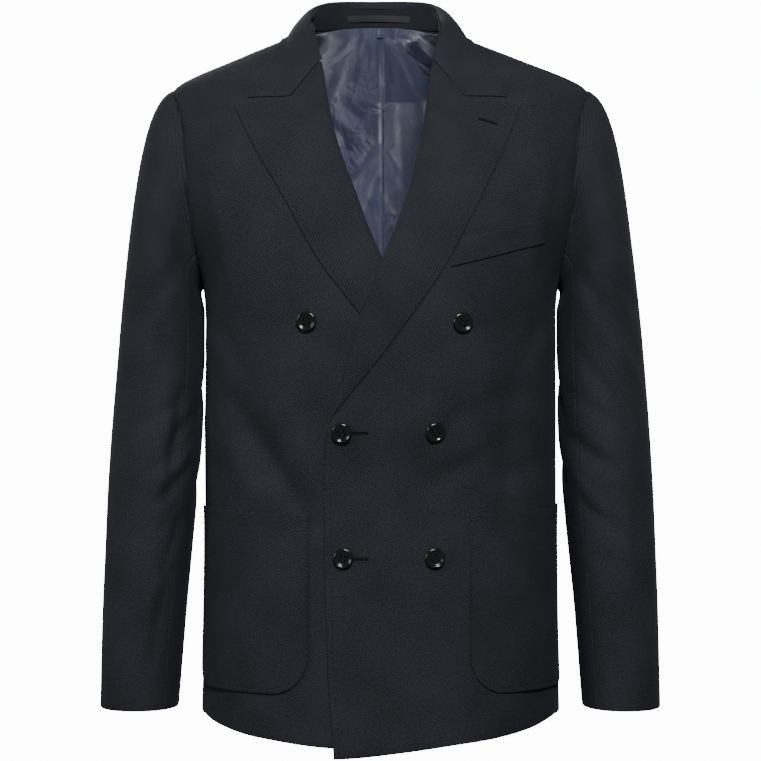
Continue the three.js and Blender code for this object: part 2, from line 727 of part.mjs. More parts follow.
function hangerLoop() {
  const surface = (u, w) => {
    const station = mix(-HANGER_LOOP.station, HANGER_LOOP.station, u);
    const p = standPoint(station, mix(HANGER_LOOP.foot, HANGER_LOOP.head, w));
    const slack = 1.2 * Math.sin(Math.PI * u) ** 2;
    return p.add(new THREE.Vector3(0, -(0.6 + HANGER_LOOP.thick + slack), 0));
  };
  return sheet(spaced(8), spaced(1), surface, HANGER_LOOP.thick);
}

// A patch pocket: straight above, with round lower corners
function hipPocket(hand) {
  const p = HIP_POCKET;
  const surface = (u, v) => {
    const across = u * p.width;
    const fromSide = Math.min(across, p.width - across, p.corner);
    const round = p.corner - Math.sqrt(p.corner ** 2 - (p.corner - fromSide) ** 2);
    const foot = p.bottom + round;
    const z = mix(foot, mix(p.top, p.sideTop, u), v);
    const middle = read(FRONT_MIDDLE, "z", "x", z);
    const inner = lengthAtX(z, middle * hand + p.half);
    const length = inner + across;
    const x = ringAt(z, "length", length).x;
    return form(hand * length, z, lapOut(hand, x, z) + HIP_POCKET_GAP + CLOTH, false);
  };
  const across = [0, 0.03, 0.08, 0.15, 0.23, 0.36, 0.5, 0.64, 0.77, 0.85, 0.92, 0.97, 1];
  return sheet(across, spaced(8), surface, hand * CLOTH);
}

function breastWelt() {
  const [innerFoot, outerFoot, outerTop, innerTop] = WELT;
  const surface = (u, v) => {
    const x = mix(mix(innerFoot.x, outerFoot.x, u), mix(innerTop.x, outerTop.x, u), v);
    const z = mix(mix(innerFoot.z, outerFoot.z, u), mix(innerTop.z, outerTop.z, u), v);
    return frontPoint(1, x, z, WELT_GAP + CLOTH);
  };
  return sheet(spaced(7), spaced(2), surface, CLOTH);
}

function buttonhole(place) {
  const surface = (u, v) => {
    const x = place.x + mix(-BUTTONHOLE.half, BUTTONHOLE.half, u);
    const z = place.z + mix(-BUTTONHOLE.narrow, BUTTONHOLE.narrow, v);
    return frontPoint(1, x, z, 0.5 + BUTTONHOLE.thick);
  };
  return sheet(spaced(3), spaced(1), surface, BUTTONHOLE.thick);
}

function toGeometry(solid) {
  const mesh = solid.getMesh();
  const geometry = new THREE.BufferGeometry();
  geometry.setAttribute("position", new THREE.Float32BufferAttribute(mesh.vertProperties, 3));
  geometry.setIndex(Array.from(mesh.triVerts));
  return geometry;
}

const rod = (radius, length, sides) => Manifold.cylinder(length, radius, radius, sides, true);

// Buttons, turned from a section and pierced by four holes
const HOLES = [[1, 1], [-1, 1], [-1, -1], [1, -1]].map((hole) => hole.map((way) => way * BUTTON.spread));

function buttonSolid() {
  const { radius, thick, rim, well } = BUTTON;
  const section = [
    [0, 0],
    [radius - 1.6, 0],
    [radius, thick * 0.45],
    [radius - 1.1, thick],
    [radius - 2 * rim, thick - 0.35],
    [radius - 2 * rim - 1.2, thick - well],
    [0, thick - well - 0.15],
  ];
  const turned = Manifold.revolve([section], 16);
  const holes = HOLES.map(([x, y]) => rod(BUTTON.hole, 3 * thick, 6).translate([x, y, 0]));
  return Manifold.difference([turned, ...holes]);
}

// The thread: a shank under the button, a leg through each hole and two stitches over the top
function threadSolid() {
  const { thick, well, spread } = BUTTON;
  const top = thick - well + 0.35;
  const foot = -SHANK - 0.1;
  const legs = HOLES.map(([x, y]) => rod(0.5, top + 0.45, 4).translate([x, y, (top - 0.45) / 2]));
  const stitch = rod(0.5, 2 * spread + 0.9, 4).rotate([0, 90, 0]);
  const stitches = [spread, -spread].map((y) => stitch.translate([0, y, top + 0.1]));
  const shank = Manifold.cube([2 * spread + 1.2, 2 * spread + 1.2, -0.25 - foot]);
  const under = shank.translate([-spread - 0.6, -spread - 0.6, foot]);
  return Manifold.union([...legs, ...stitches, under]);
}

function placed(solid, place) {
  const hand = place.side === "left" ? 1 : -1;
  const near = (x, z) => frontPoint(hand, place.x + x, place.z + z, SHANK);
  const across = near(4, 0).sub(near(-4, 0));
  const up = near(0, 4).sub(near(0, -4));
  const out = across.clone().cross(up).normalize();
  const side = across.normalize();
  const basis = new THREE.Matrix4().makeBasis(side, out.clone().cross(side), out);
  basis.setPosition(near(0, 0));
  return toGeometry(solid).applyMatrix4(basis);
}

const group = new THREE.Group();

function add(name, geometry, finish) {
  const mesh = new THREE.Mesh(geometry, new THREE.MeshStandardMaterial(finish));
  mesh.name = name;
  group.add(mesh);
  return mesh;
}

for (const [side, hand] of [["left", 1], ["right", -1]]) {
  add(`front_${side}`, front(hand), NAVY);
  add(`side_${side}`, sidePanel(hand), NAVY);
  add(`back_${side}`, back(hand), NAVY);
  add(`back_lining_${side}`, backLining(hand), LINING);
  add(`top_sleeve_${side}`, sleeve(hand, BACK_SLEEVE_SEAM - 360, FRONT_SLEEVE_SEAM, 16), NAVY);
  add(`under_sleeve_${side}`, sleeve(hand, FRONT_SLEEVE_SEAM, BACK_SLEEVE_SEAM, 6), NAVY);
  add(`lapel_${side}`, lapel(hand), NAVY);
  add(`hip_pocket_${side}`, hipPocket(hand), NAVY);
}
add("breast_welt", breastWelt(), NAVY);
add("collar", collar(), NAVY);
add("collar_stand", collarStand(), NAVY);
add("hanger_loop", hangerLoop(), LOOP_GREY);
add("lapel_buttonhole", lapelButtonhole(), THREAD);
for (const place of BUTTONHOLE_PLACES) {
  add(place.name, buttonhole(place), THREAD);
}
const buttonBody = buttonSolid();
const threadBody = threadSolid();
for (const place of BUTTON_PLACES) {
  add(place.name, placed(buttonBody, place), BUTTON_BLACK);
  add(`${place.name}_thread`, placed(threadBody, place), THREAD);
}

export default group;
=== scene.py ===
"""A dark navy double breasted blazer with peak lapels, in its hollow worn form."""

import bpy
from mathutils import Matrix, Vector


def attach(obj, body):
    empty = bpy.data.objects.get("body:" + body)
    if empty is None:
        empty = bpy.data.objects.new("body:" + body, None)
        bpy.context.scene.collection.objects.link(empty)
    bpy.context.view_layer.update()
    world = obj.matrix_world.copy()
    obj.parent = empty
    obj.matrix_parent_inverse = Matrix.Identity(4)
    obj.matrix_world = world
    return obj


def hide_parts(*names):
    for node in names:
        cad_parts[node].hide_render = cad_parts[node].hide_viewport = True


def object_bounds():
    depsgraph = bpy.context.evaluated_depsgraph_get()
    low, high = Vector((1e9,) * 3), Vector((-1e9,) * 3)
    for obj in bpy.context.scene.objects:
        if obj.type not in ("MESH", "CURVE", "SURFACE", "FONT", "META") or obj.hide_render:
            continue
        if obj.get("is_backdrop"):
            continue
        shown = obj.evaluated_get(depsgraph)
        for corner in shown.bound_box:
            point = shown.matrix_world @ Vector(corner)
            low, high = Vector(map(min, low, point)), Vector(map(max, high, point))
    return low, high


bl_info = {
    "name": "Double Breasted Blazer",
    "version": (1, 0, 0),
    "blender": (4, 5, 0),
    "location": "3D View > Sidebar > Blazer",
    "description": "Sews the blazer's panels, collar, lapels, pockets and buttons around its frame",
    "category": "Object",
}

import json
import math

import bpy
import numpy as np
from mathutils import Matrix, Vector

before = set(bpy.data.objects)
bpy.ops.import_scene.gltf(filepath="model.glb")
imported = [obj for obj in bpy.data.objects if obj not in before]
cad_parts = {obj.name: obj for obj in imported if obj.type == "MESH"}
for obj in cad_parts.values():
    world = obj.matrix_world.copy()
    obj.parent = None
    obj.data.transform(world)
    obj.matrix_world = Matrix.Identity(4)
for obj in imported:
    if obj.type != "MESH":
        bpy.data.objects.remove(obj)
CAD_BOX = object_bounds()

MM = 0.001
# Units of the grain's UV map for each mm of cloth
GRAIN_SCALE = 0.01


def table(names, *rows):
    """Columns by name, with the rows in rising order of the first column."""
    columns = np.array(sorted(rows), float).T
    made = dict(zip(names.split(), columns))
    made["key"] = columns[0]
    return made


# Every measure below is in millimetres, as seen on the wearer: x to the wearer's left, z up.
# A panel is one thick cloth with its lining, and pieces that lie on it are thinner and a little off it.
CLOTH = 2.2
PATCH_CLOTH = 1.2
TURNED_CLOTH = 1.25
STAND_CLOTH = 1.6
SATIN_CLOTH = 0.8
LOOP_CLOTH = 0.7
SEAM_GAP = 0.45
PATCH_GAP = 0.45
TURNED_GAP = 0.55
# How far the left front stands off the form over the right front, below the lapels and over them
LAP_LOW = 2.9
LAP_HIGH = 9.6

# The form that the panels follow: half its width, its depths and how square its rings are, by height
BODY = table(
    "z side front back square",
    (60, 40, 10, 56, 2.0),
    (30, 66, 26, 76, 2.0),
    (11, 75, 32, 77, 2.0),
    (-20, 145.5, 48, 86, 2.3),
    (-42, 198.5, 62.5, 94, 2.45),
    (-54, 217.5, 70, 98, 2.55),
    (-68, 220, 78.5, 103.5, 2.65),
    (-100, 217, 95, 112, 2.8),
    (-150, 213, 113, 120, 2.8),
    (-200, 205, 124, 122, 2.7),
    (-265, 187, 130, 119, 2.5),
    (-330, 185, 129, 110, 2.35),
    (-400, 185.5, 126, 103, 2.35),
    (-470, 185.5, 126, 104, 2.35),
    (-540, 185, 129, 112, 2.35),
    (-620, 186, 133, 119, 2.35),
    (-700, 188.5, 137, 123, 2.35),
    (-760, 189.5, 139, 125, 2.35),
)
# The form leans to the side towards the neck
LEAN = table("z x", (60, -5), (0, -5), (-60, 0), (-100, 0))

# Heights and places where the panels end
NECK_POINT = 11
SHOULDER_POINT = -54
ARMHOLE_FOOT = -265
NAPE_RISE = 13
SIDE_HEM = -704
BACK_HEM = -706
HEM_BAND_TOP = -630
# The height above which panels have more rows of points
ROWS_SPLIT = -110
ARMHOLE_MIDDLE = (SHOULDER_POINT + ARMHOLE_FOOT) / 2
ARMHOLE_HALF = (SHOULDER_POINT - ARMHOLE_FOOT) / 2
ARMHOLE_FRONT = 58
ARMHOLE_BACK = 64
FRONT_SEAM_Y = -44
BACK_SEAM_Y = 50

# The middle of the lap wanders a little to the left on its way down
FRONT_MIDDLE = table(
    "z x",
    (11, -4),
    (-80, -3),
    (-128, -1),
    (-168, 1.5),
    (-224, 2),
    (-286, 5),
    (-340, 6.5),
    (-402, 8),
    (-760, 8),
)
# The roll line of the lapels and the front edge under them, off the middle of the front
ROLL = table(
    "z half",
    (11, 66),
    (-20, 60),
    (-43, 55),
    (-102, 45.5),
    (-164, 28.5),
    (-224, 6.5),
    (-283, -20.5),
    (-327, -35),
    (-369, -47),
    (-402, -57),
    (-430, -63),
    (-500, -64.5),
    (-640, -61),
    (-700, -55),
    (-760, -52),
)
# The outer edge of the lapels, off the middle of the front
LAPEL_EDGE = table(
    "z half",
    (-79, 147),
    (-128, 125),
    (-168, 103.5),
    (-218, 77),
    (-250, 58),
    (-286, 32),
    (-338, -7.5),
    (-370, -34),
    (-392, -52),
)
LAPEL_FOOT = -399
# How far the front stops short of the roll line, where the lapel rolls over it
ROLL_TRIM = 2.6
PEAK = (147, -79)
GORGE_CORNER = (88, -71.5)
GORGE_TOP = (58, -30)
COLLAR_GAP = 0.9
LAPEL_BULGE = 3.0
# Where across the lapel the gorge bends, how far in its cloth reaches, and in how many steps it rolls
GORGE_BEND = 0.42
LAPEL_INSIDE = (22, 14, 8)
LAPEL_ROLL_STEPS = 11

# The hem of the left front (1) and the right one (-1), by the distance out to its own side
HEM = {
    1: table(
        "x z",
        (-60, -740.5),
        (-21, -738),
        (30, -732),
        (72, -726.5),
        (121, -721),
        (157, -714.5),
        (182, -706.5),
    ),
    -1: table(
        "x z",
        (-80, -718),
        (-20, -725.5),
        (47, -729),
        (120, -722),
        (144, -718.5),
        (172, -711.5),
        (184, -706.5),
    ),
}

# Every crease is a row of numbers: x and z of one end, then of the other end, width and depth.
# A negative depth is a ridge. These are the soft troughs of the fronts, as seen from the front.
DRAG_FOLDS = [
    (-150, -385, -72, -505, 15, 5.4),
    (92, -440, 40, -472, 13, 3.2),
    (152, -375, 90, -390, 16, 3.2),
    (-20, -590, 20, -700, 26, 2.0),
    (150, -600, 164, -700, 16, 2.0),
    (-164, -560, -168, -690, 14, 2.0),
]
# Finer creases of the fronts
FRONT_CREASES = [
    (-160, -372, -84, -490, 12, 2.4),
    (-176, -404, -110, -500, 13, -2.4),
    (-118, -368, -56, -470, 13, -1.8),
    (-186, -150, -168, -262, 8, 1.0),
    (-176, -140, -152, -262, 9, -1.6),
    (186, -140, 168, -262, 8, 1.0),
    (174, -130, 150, -250, 9, -1.6),
    (-172, -300, -140, -352, 12, 1.8),
    (174, -290, 140, -350, 12, 1.8),
    (78, -396, 44, -430, 9, 2.2),
    (104, -420, 56, -452, 10, -1.4),
    (132, -362, 126, -500, 12, 1.8),
    (20, -366, 58, -380, 10, 1.6),
    (178, -440, 110, -462, 11, 1.6),
    (-30, -440, -8, -540, 14, 1.4),
    (-120, -585, -110, -700, 20, 1.6),
    (66, -560, 70, -710, 18, 1.6),
    (24, -470, 36, -640, 16, 1.3),
    (-66, -560, -72, -700, 16, 1.4),
]
# Creases of the back, seen from behind
BACK_CREASES = [
    (-150, -360, -40, -385, 13, 2.8),
    (150, -352, 46, -378, 12, 2.6),
    (-140, -380, -20, -408, 11, -1.8),
    (-120, -400, 20, -424, 11, 2.0),
    (128, -418, 30, -434, 12, 2.2),
    (-168, -180, -140, -300, 13, 2.6),
    (166, -170, 142, -292, 12, 2.7),
    (-90, -40, 60, -44, 10, 1.2),
    (-60, -520, -70, -690, 20, 1.8),
    (74, -500, 66, -690, 22, 2.0),
]
# The lining hangs slack, and its right half laps the left one in a pleat, tacked at its head
LINING_FOOT = -683
LINING_DEPTH = CLOTH + 1.3
LINING_EASE = 3.0
PLEAT_LAP = 5.0
PLEAT_LIFT = 1.3
PLEAT_TACK = 12.0
# Creases of the satin, with their depths away from the wearer
LINING_FOLDS = [
    (1.8, 10, 1.8, -150, 1.8, 2.4),
    (1.8, -90, 1.8, -250, 1.8, 2.4),
    (2, -100, 34, -150, 5, 3.2),
    (6, -112, 52, -176, 5, -3.4),
    (-4, -96, -30, -138, 5, 3.0),
    (-8, -112, -48, -160, 5, -3.2),
    (-30, -128, -58, -150, 5, 2.8),
    (-2, -132, -24, -196, 4, 2.8),
    (0, -150, 26, -206, 4, 3.0),
    (18, -150, 2, -214, 4, -2.6),
    (-14, -150, -2, -212, 4, -2.4),
    (22, -20, 26, -160, 7, -3.0),
    (44, -30, 48, -150, 7, 3.2),
    (56, -40, 60, -170, 6, -2.4),
    (-58, -40, -26, -70, 6, 2.6),
    (-60, -62, -22, -92, 6, -2.6),
    (-62, -96, -30, -108, 6, 2.8),
    (-40, -14, -58, -60, 6, -2.4),
    (34, -6, 62, -44, 5, 2.6),
    (30, -14, 46, -50, 5, -2.4),
    (12, -178, 60, -174, 4, 3.6),
    (8, -190, 56, -188, 5, -3.0),
    (-60, -176, -12, -200, 6, 2.8),
    (-70, -230, 40, -214, 10, 2.6),
    (70, -262, -30, -250, 10, 2.2),
    (-90, -40, -84, -240, 12, -2.0),
    (96, -50, 86, -250, 12, 2.4),
    (-120, -330, 90, -352, 14, 2.4),
    (110, -420, -80, -440, 13, 2.0),
]

# Each sleeve below its head: where its inner side, outer side, front and back are
SLEEVE = table(
    "z inner outer front back",
    (-290, 187, 274.5, -62, 76),
    (-350, 187, 279.5, -65, 70),
    (-413, 188.3, 284, -68, 60),
    (-477, 192.6, 287, -72, 50),
    (-541, 198, 289, -75, 40),
    (-604, 204, 291.2, -76, 32),
    (-701, 211.8, 293.3, -75, 27),
)
BICEP = -290
CUFF = -701
SLEEVE_SQUARE = 2.2
CAP_REACH = 34
CAP_START = 0.62
SLEEVE_STAND_OFF = 1.4
SLEEVE_TURNED_IN = (1.6, 4.0)
# The two seams of a sleeve and half the gap at each, in degrees round the arm
SLEEVE_TRIM = 0.25
FRONT_SLEEVE_SEAM = 132
BACK_SLEEVE_SEAM = 238
# Creases across the inside of the elbow: angle round the arm, height, slant in mm a degree, width, depth.
# Each fades out over ELBOW_REACH degrees to either side.
ELBOW_REACH = 38
ELBOW_CREASES = [
    (100, -395, 0.5, 12, 3.2),
    (115, -440, 0.55, 11, 3.0),
    (250, -380, -0.4, 13, 2.6),
]
# Finer creases of each sleeve, which have the angle round the arm in place of x.
# A degree counts as SLEEVE_SCALE mm along a crease, and all depths are SLEEVE_DEPTH times as deep.
SLEEVE_SCALE = 0.8
SLEEVE_DEPTH = 1.3
SLEEVE_CREASES = {
    1: [
        (120, -250, 52, -330, 9, 2.6),
        (112, -280, 40, -372, 9, -1.8),
        (96, -235, 30, -290, 10, 1.7),
        (124, -330, 60, -404, 8, 2.4),
        (138, -420, 84, -452, 7, 2.2),
        (142, -452, 100, -500, 7, -1.8),
        (132, -486, 88, -512, 7, 2.0),
        (120, -540, 70, -560, 9, 1.3),
        (104, -600, 96, -690, 9, 1.2),
        (46, -440, 70, -600, 14, 1.3),
        (74, -110, 88, -230, 9, 1.8),
        (-60, -380, -110, -450, 11, 2.6),
        (-46, -410, -100, -500, 11, -1.8),
        (-70, -250, -110, -340, 12, 2.0),
        (-50, -560, -96, -640, 12, 1.3),
        (210, -330, 160, -400, 9, 2.4),
        (214, -420, 164, -470, 9, 2.2),
    ],
    -1: [
        (126, -372, 112, -478, 7, 3.4),
        (112, -400, 104, -500, 8, -2.2),
        (150, -392, 108, -432, 7, 2.8),
        (146, -428, 100, -470, 7, -1.8),
        (144, -452, 104, -486, 7, 2.6),
        (140, -500, 112, -560, 7, 2.8),
        (128, -520, 100, -600, 8, -1.6),
        (120, -560, 108, -650, 8, 2.0),
        (116, -240, 64, -300, 10, 2.0),
        (110, -270, 58, -340, 9, -1.4),
        (98, -330, 78, -420, 9, 1.6),
        (62, -420, 74, -590, 14, 1.3),
        (76, -110, 90, -230, 9, 1.8),
        (-58, -360, -108, -440, 11, 2.4),
        (-52, -430, -104, -510, 11, -1.6),
        (-66, -240, -112, -330, 12, 2.0),
        (212, -340, 160, -404, 9, 2.4),
        (214, -440, 166, -490, 9, 2.2),
    ],
}

# Stations of the collar, from the middle of the back at 0 to its front end at 8: its crest and its edge,
# the stand's foot as a share of the back's neck edge, and how full the fall rolls and bulges between
COLLAR = table(
    "station crestX crestY crestZ edgeX edgeY edgeZ foot roll bulge",
    (0, 0, 79, 54, 0, 78, 12, 0, 6.5, 5),
    (1, 30, 75.5, 53.5, 37, 76, 11, 0.25, 6.5, 5),
    (2, 51, 61, 50, 70, 60, 7, 0.46, 8, 9),
    (3, 62.5, 42, 42, 86, 40, 3, 0.65, 9, 13),
    (4, 66, 20, 30, 94, 18, 1, 0.83, 9, 14),
    (5, 66.5, 0, 19, 98, -6, -3, 1, 8, 12),
    (6, 64.5, -20, 5, 103.5, -27, -14, 1, 6, 8),
    (7, 61, -40, -12, 114, -46, -36, 1, 4.5, 6),
    (8, 57.5, -52, -27, 133, -70, -70.5, 1, 3.5, 4.5),
)
COLLAR_END = 8
COLLAR_BEND = 0.45
# The cloth that turns over the crest to the inside: how far out and how far down each of its rows is
COLLAR_TURNED_IN = ((-2.6, 9.0), (-2.7, 6.0), (-2.4, 3.4), (-1.7, 1.5), (-0.8, 0.4))
STAND_END = 5.5
# The hanger loop's ends as stations of the collar, its edges as shares of the stand, and its stand off
LOOP_ENDS = (-1.14, 1.38)
LOOP_HEIGHTS = (0.24, 0.52)
LOOP_LIFT = 1.4

HIP_POCKET = dict(half=81, width=172, top=-497, side_top=-491, bottom=-677, corner=40)
WELT = dict(
    inner_foot=(69, -247.5),
    outer_foot=(166, -221),
    outer_top=(166, -196.5),
    inner_top=(81, -219.5),
)
# Each button by its name, its place and the front that it is sewn to: 1 is the left one
BUTTON_PLACES = [
    ("button_top_right", -74, -301.5, -1),
    ("button_top_left", 80, -302, 1),
    ("button_middle_right", -38, -413.5, 1),
    ("button_middle_left", 54, -412.5, 1),
    ("button_bottom_right", -37, -539.5, 1),
    ("button_bottom_left", 54, -539.5, 1),
]
SHANK = 1.2
BUTTONHOLE_PLACES = [
    ("buttonhole_middle", -22, -413.5),
    ("buttonhole_bottom", -22, -540),
]
LAPEL_BUTTONHOLE = ((100.5, -94), (119, -99.5))


def curve(columns, name, at):
    """A column of a table, read with a smooth curve through its rows."""
    key, value = columns["key"], columns[name]
    last = len(key) - 1
    low = np.maximum(np.arange(last + 1) - 1, 0)
    high = np.minimum(np.arange(last + 1) + 1, last)
    slope = (value[high] - value[low]) / (key[high] - key[low])
    at = np.clip(np.asarray(at, float), key[0], key[-1])
    i = np.clip(np.searchsorted(key, at, side="right") - 1, 0, last - 1)
    step = key[i + 1] - key[i]
    t = (at - key[i]) / step
    return (
        (2 * t**3 - 3 * t**2 + 1) * value[i]
        + (t**3 - 2 * t**2 + t) * step * slope[i]
        + (3 * t**2 - 2 * t**3) * value[i + 1]
        + (t**3 - t**2) * step * slope[i + 1]
    )


def marks(start, *legs):
    """Values from a start to the end of each leg, with so many even steps in each."""
    values = [start]
    for end, count in legs:
        values.extend(np.linspace(values[-1], end, count + 1)[1:])
    return np.array(values, float)


def ease(start, end, value):
    """A smooth rise from 0 at the start to 1 at the end."""
    t = np.clip((np.asarray(value, float) - start) / (end - start), 0, 1)
    return t * t * (3 - 2 * t)


def mix(a, b, t):
    return a + (b - a) * t


def bent(first, corner, last, t, bend):
    """From first to last by way of a corner, which is reached where t is bend."""
    low = mix(first, corner, t / bend)
    high = mix(corner, last, (t - bend) / (1 - bend))
    return np.where(t < bend, low, high)


def arc(a, b, c, d, t):
    """A smooth line from a to d that leaves towards b and arrives from c."""
    return (1 - t) ** 3 * a + 3 * (1 - t) ** 2 * t * b + 3 * (1 - t) * t**2 * c + t**3 * d


def unit(v):
    return v / np.maximum(np.linalg.norm(v, axis=-1, keepdims=True), 1e-9)


def stack(x, y, z):
    """Points from their three measures, each a number or an array."""
    return np.stack(np.broadcast_arrays(x, y, z), axis=-1).astype(float)


def front_middle(z):
    """Where the middle of the front is at a height."""
    return curve(FRONT_MIDDLE, "x", z)


def lean(z):
    """How far the form leans to the side at a height."""
    return curve(LEAN, "x", z)


def body_depth(ahead, z):
    """How deep the form is at a height, before its middle or behind it."""
    return np.where(ahead, curve(BODY, "front", z), curve(BODY, "back", z))


def ring_place(z, turn):
    """Half a ring of the body form: turn 0 is the middle of the front, pi the middle of the back."""
    power = 2 / curve(BODY, "square", z)
    ahead = np.cos(turn)
    depth = body_depth(ahead > 0, z)
    x = curve(BODY, "side", z) * np.abs(np.sin(turn)) ** power
    y = -np.sign(ahead) * depth * np.abs(ahead) ** power
    return x, y


def spread(t):
    """Shares of a half ring, drawn together at both of its ends."""
    return t * t * (3 - 2 * t)


def unspread(s):
    """The opposite of spread."""
    return 0.5 - np.sin(np.arcsin(1 - 2 * np.clip(s, 0, 1)) / 3)


# The form is measured once on this grid, so that a place on it is found by its distance round
HEIGHTS = np.arange(-790.0, 61.0, 2.5)
TURNS = math.pi * spread(np.linspace(0, 1, 721))
SHARES = np.linspace(0, 1, 2001)


def ring_lengths():
    """The distance round from the middle of the front, for each height and turn."""
    x, y = ring_place(HEIGHTS[:, None], TURNS[None, :])
    steps = np.hypot(np.diff(x, axis=1), np.diff(y, axis=1))
    return np.hstack([np.zeros((len(HEIGHTS), 1)), np.cumsum(steps, axis=1)])


LENGTHS = ring_lengths()
TURN_OF_SHARE = np.array([np.interp(SHARES * row[-1], row, TURNS) for row in LENGTHS])


def lookup(grid, z, share):
    """A grid of heights by shares of a row, read between its points."""
    z, share = np.broadcast_arrays(z, share)
    i = np.clip((z - HEIGHTS[0]) / (HEIGHTS[1] - HEIGHTS[0]), 0, len(HEIGHTS) - 1.001)
    j = np.clip(share, 0, 1) * (grid.shape[1] - 1)
    j = np.minimum(j, grid.shape[1] - 1.001)
    a, b = i.astype(int), j.astype(int)
    s, t = i - a, j - b
    near = mix(grid[a, b], grid[a, b + 1], t)
    far = mix(grid[a + 1, b], grid[a + 1, b + 1], t)
    return mix(near, far, s)


def half_girth(z):
    """Half the distance round the form at a height."""
    return np.interp(z, HEIGHTS, LENGTHS[:, -1])


def turn_at(z, length):
    """The turn that is so far round from the middle of the front."""
    return lookup(TURN_OF_SHARE, z, np.abs(length) / half_girth(z))


def length_at_x(z, x):
    """How far round the form is so far to the side, on its front."""
    share = np.clip(np.abs(x) / curve(BODY, "side", z), 0, 1)
    turn = np.arcsin(share ** (curve(BODY, "square", z) / 2))
    return np.sign(x) * lookup(LENGTHS, z, unspread(turn / math.pi))


def length_at_y(z, y):
    """How far round the form is so far back."""
    depth = body_depth(y < 0, z)
    share = np.clip(np.abs(y) / depth, 0, 1) ** (curve(BODY, "square", z) / 2)
    turn = np.where(y < 0, np.arccos(share), math.pi - np.arccos(share))
    return lookup(LENGTHS, z, unspread(turn / math.pi))


def form_value(p):
    """1 on the form, less inside it and more outside."""
    x, y, z = p[..., 0], p[..., 1], p[..., 2]
    n = curve(BODY, "square", z)
    side = np.abs(x - lean(z)) / curve(BODY, "side", z)
    return (side**n + (np.abs(y) / body_depth(y < 0, z)) ** n) ** (1 / n)


def off_form(p):
    """How far points are outside the form, and which way is out."""
    step = 0.05
    slope = []
    for axis in range(3):
        shift = np.zeros(3)
        shift[axis] = step
        slope.append((form_value(p + shift) - form_value(p - shift)) / (2 * step))
    out = np.stack(slope, axis=-1)
    rise = np.linalg.norm(out, axis=-1)
    return (form_value(p) - 1) / rise, out / rise[..., None]


def stand_off(p, least):
    """Points moved out until they are at least so far from the form."""
    for _ in range(3):
        distance, out = off_form(p)
        p = p + out * np.maximum(least - distance, 0)[..., None]
    return p


def trough(folds, x, z):
    """How deep soft troughs are at a place, each fading out at its ends."""
    depth = np.zeros(np.broadcast(x, z).shape)
    for x0, z0, x1, z1, width, deep in folds:
        dx, dz = x1 - x0, z1 - z0
        t = np.clip(((x - x0) * dx + (z - z0) * dz) / (dx * dx + dz * dz), 0, 1)
        away = np.hypot(x - x0 - dx * t, z - z0 - dz * t) / width
        depth += deep * np.exp(-away * away) * np.sin(math.pi * mix(0.15, 0.85, t))
    return depth


def unevenness(a, b, size, seed):
    """Slow swells of the cloth, in mm, from a few waves of fixed lengths."""
    waves = [(1.0, 0.31, 0.2), (0.57, -0.83, 1.7), (-0.22, 1.31, 3.1), (1.37, 0.66, 4.4)]
    total = 0
    for k, (p, q, phase) in enumerate(waves):
        total = total + np.sin((p * a + q * b) / (26 + 5 * k) + phase + seed * (k + 1))
    return size * total / len(waves)


def form(length, z, out=0.0, fine=0.0, folded=True):
    """A point of the body form, by its distance round from the middle of the front and its height."""
    length, z, out = np.broadcast_arrays(length, z, out)
    hand = np.where(length < 0, -1.0, 1.0)
    x, y = ring_place(z, turn_at(z, length))
    x = hand * x
    push = out.astype(float)
    front, back = ease(0, 30, -y), ease(0, 30, y)
    if folded:
        push -= trough(DRAG_FOLDS, x, z) * front
    if fine:
        push -= fine * trough(FRONT_CREASES, x, z) * front
        push -= fine * trough(BACK_CREASES, x, z) * back
        push += unevenness(length, z, 0.35 * fine, 0.0) * ease(-90, -200, z)
    p = stack(x + lean(z), y, z)
    return p + off_form(p)[1] * push[..., None]


def roll_x(hand, z):
    """Where a front's roll line or edge is at a height."""
    return front_middle(z) + hand * curve(ROLL, "half", z)


def armhole_y(z, reach):
    """How far the armhole reaches, before or behind its middle, at a height."""
    share = (z - ARMHOLE_MIDDLE) / ARMHOLE_HALF
    return reach * np.sqrt(np.maximum(0, 1 - share * share))


def outer_y(z, seam, reach):
    """Where fronts and backs end: the side seam, then the armhole, then the shoulder seam."""
    hole = armhole_y(z, reach)
    low = np.maximum(abs(seam), hole)
    y = np.sign(seam) * np.where(z > ARMHOLE_MIDDLE, hole, low)
    return np.where(z >= SHOULDER_POINT, 0.0, y)


def lap_out(hand, x, z):
    """How far the wearer's left front stands off the form, over the right front and its lapel."""
    if hand < 0:
        return np.zeros(np.broadcast(x, z).shape)
    over = mix(LAP_LOW, LAP_HIGH, ease(-455, -400, z))
    return (1 - ease(80, 150, x)) * ease(-140, -225, z) * over


def front_point(hand, x, z, out=0.0, fine=1.0):
    """A point of a front by its place as seen from the front, and how far it stands off."""
    length = length_at_x(z, x - lean(z))
    return form(length, z, lap_out(hand, hand * x, z) + out, fine)


def net(us, vs, surface):
    """The points of a surface over a net, as rows up by columns across."""
    return surface(*np.meshgrid(us, vs))


def net_normals(p):
    """The way off a net at each of its points."""
    across = np.gradient(p, axis=1)
    up = np.gradient(p, axis=0)
    return unit(np.cross(across, up))


def rim_walk(rows, columns):
    """The border of a net, once round, as row and column numbers."""
    walk = [(0, j) for j in range(columns)]
    walk += [(i, columns - 1) for i in range(1, rows)]
    walk += [(rows - 1, j) for j in range(columns - 2, -1, -1)]
    walk += [(i, 0) for i in range(rows - 2, 0, -1)]
    return np.array(walk)


def rim_outward(p):
    """At each point of a net's border, the way off the net in its own surface."""
    away = np.zeros_like(p)
    away[0] += unit(p[0] - p[1])
    away[-1] += unit(p[-1] - p[-2])
    away[:, 0] += unit(p[:, 0] - p[:, 1])
    away[:, -1] += unit(p[:, -1] - p[:, -2])
    return unit(away)


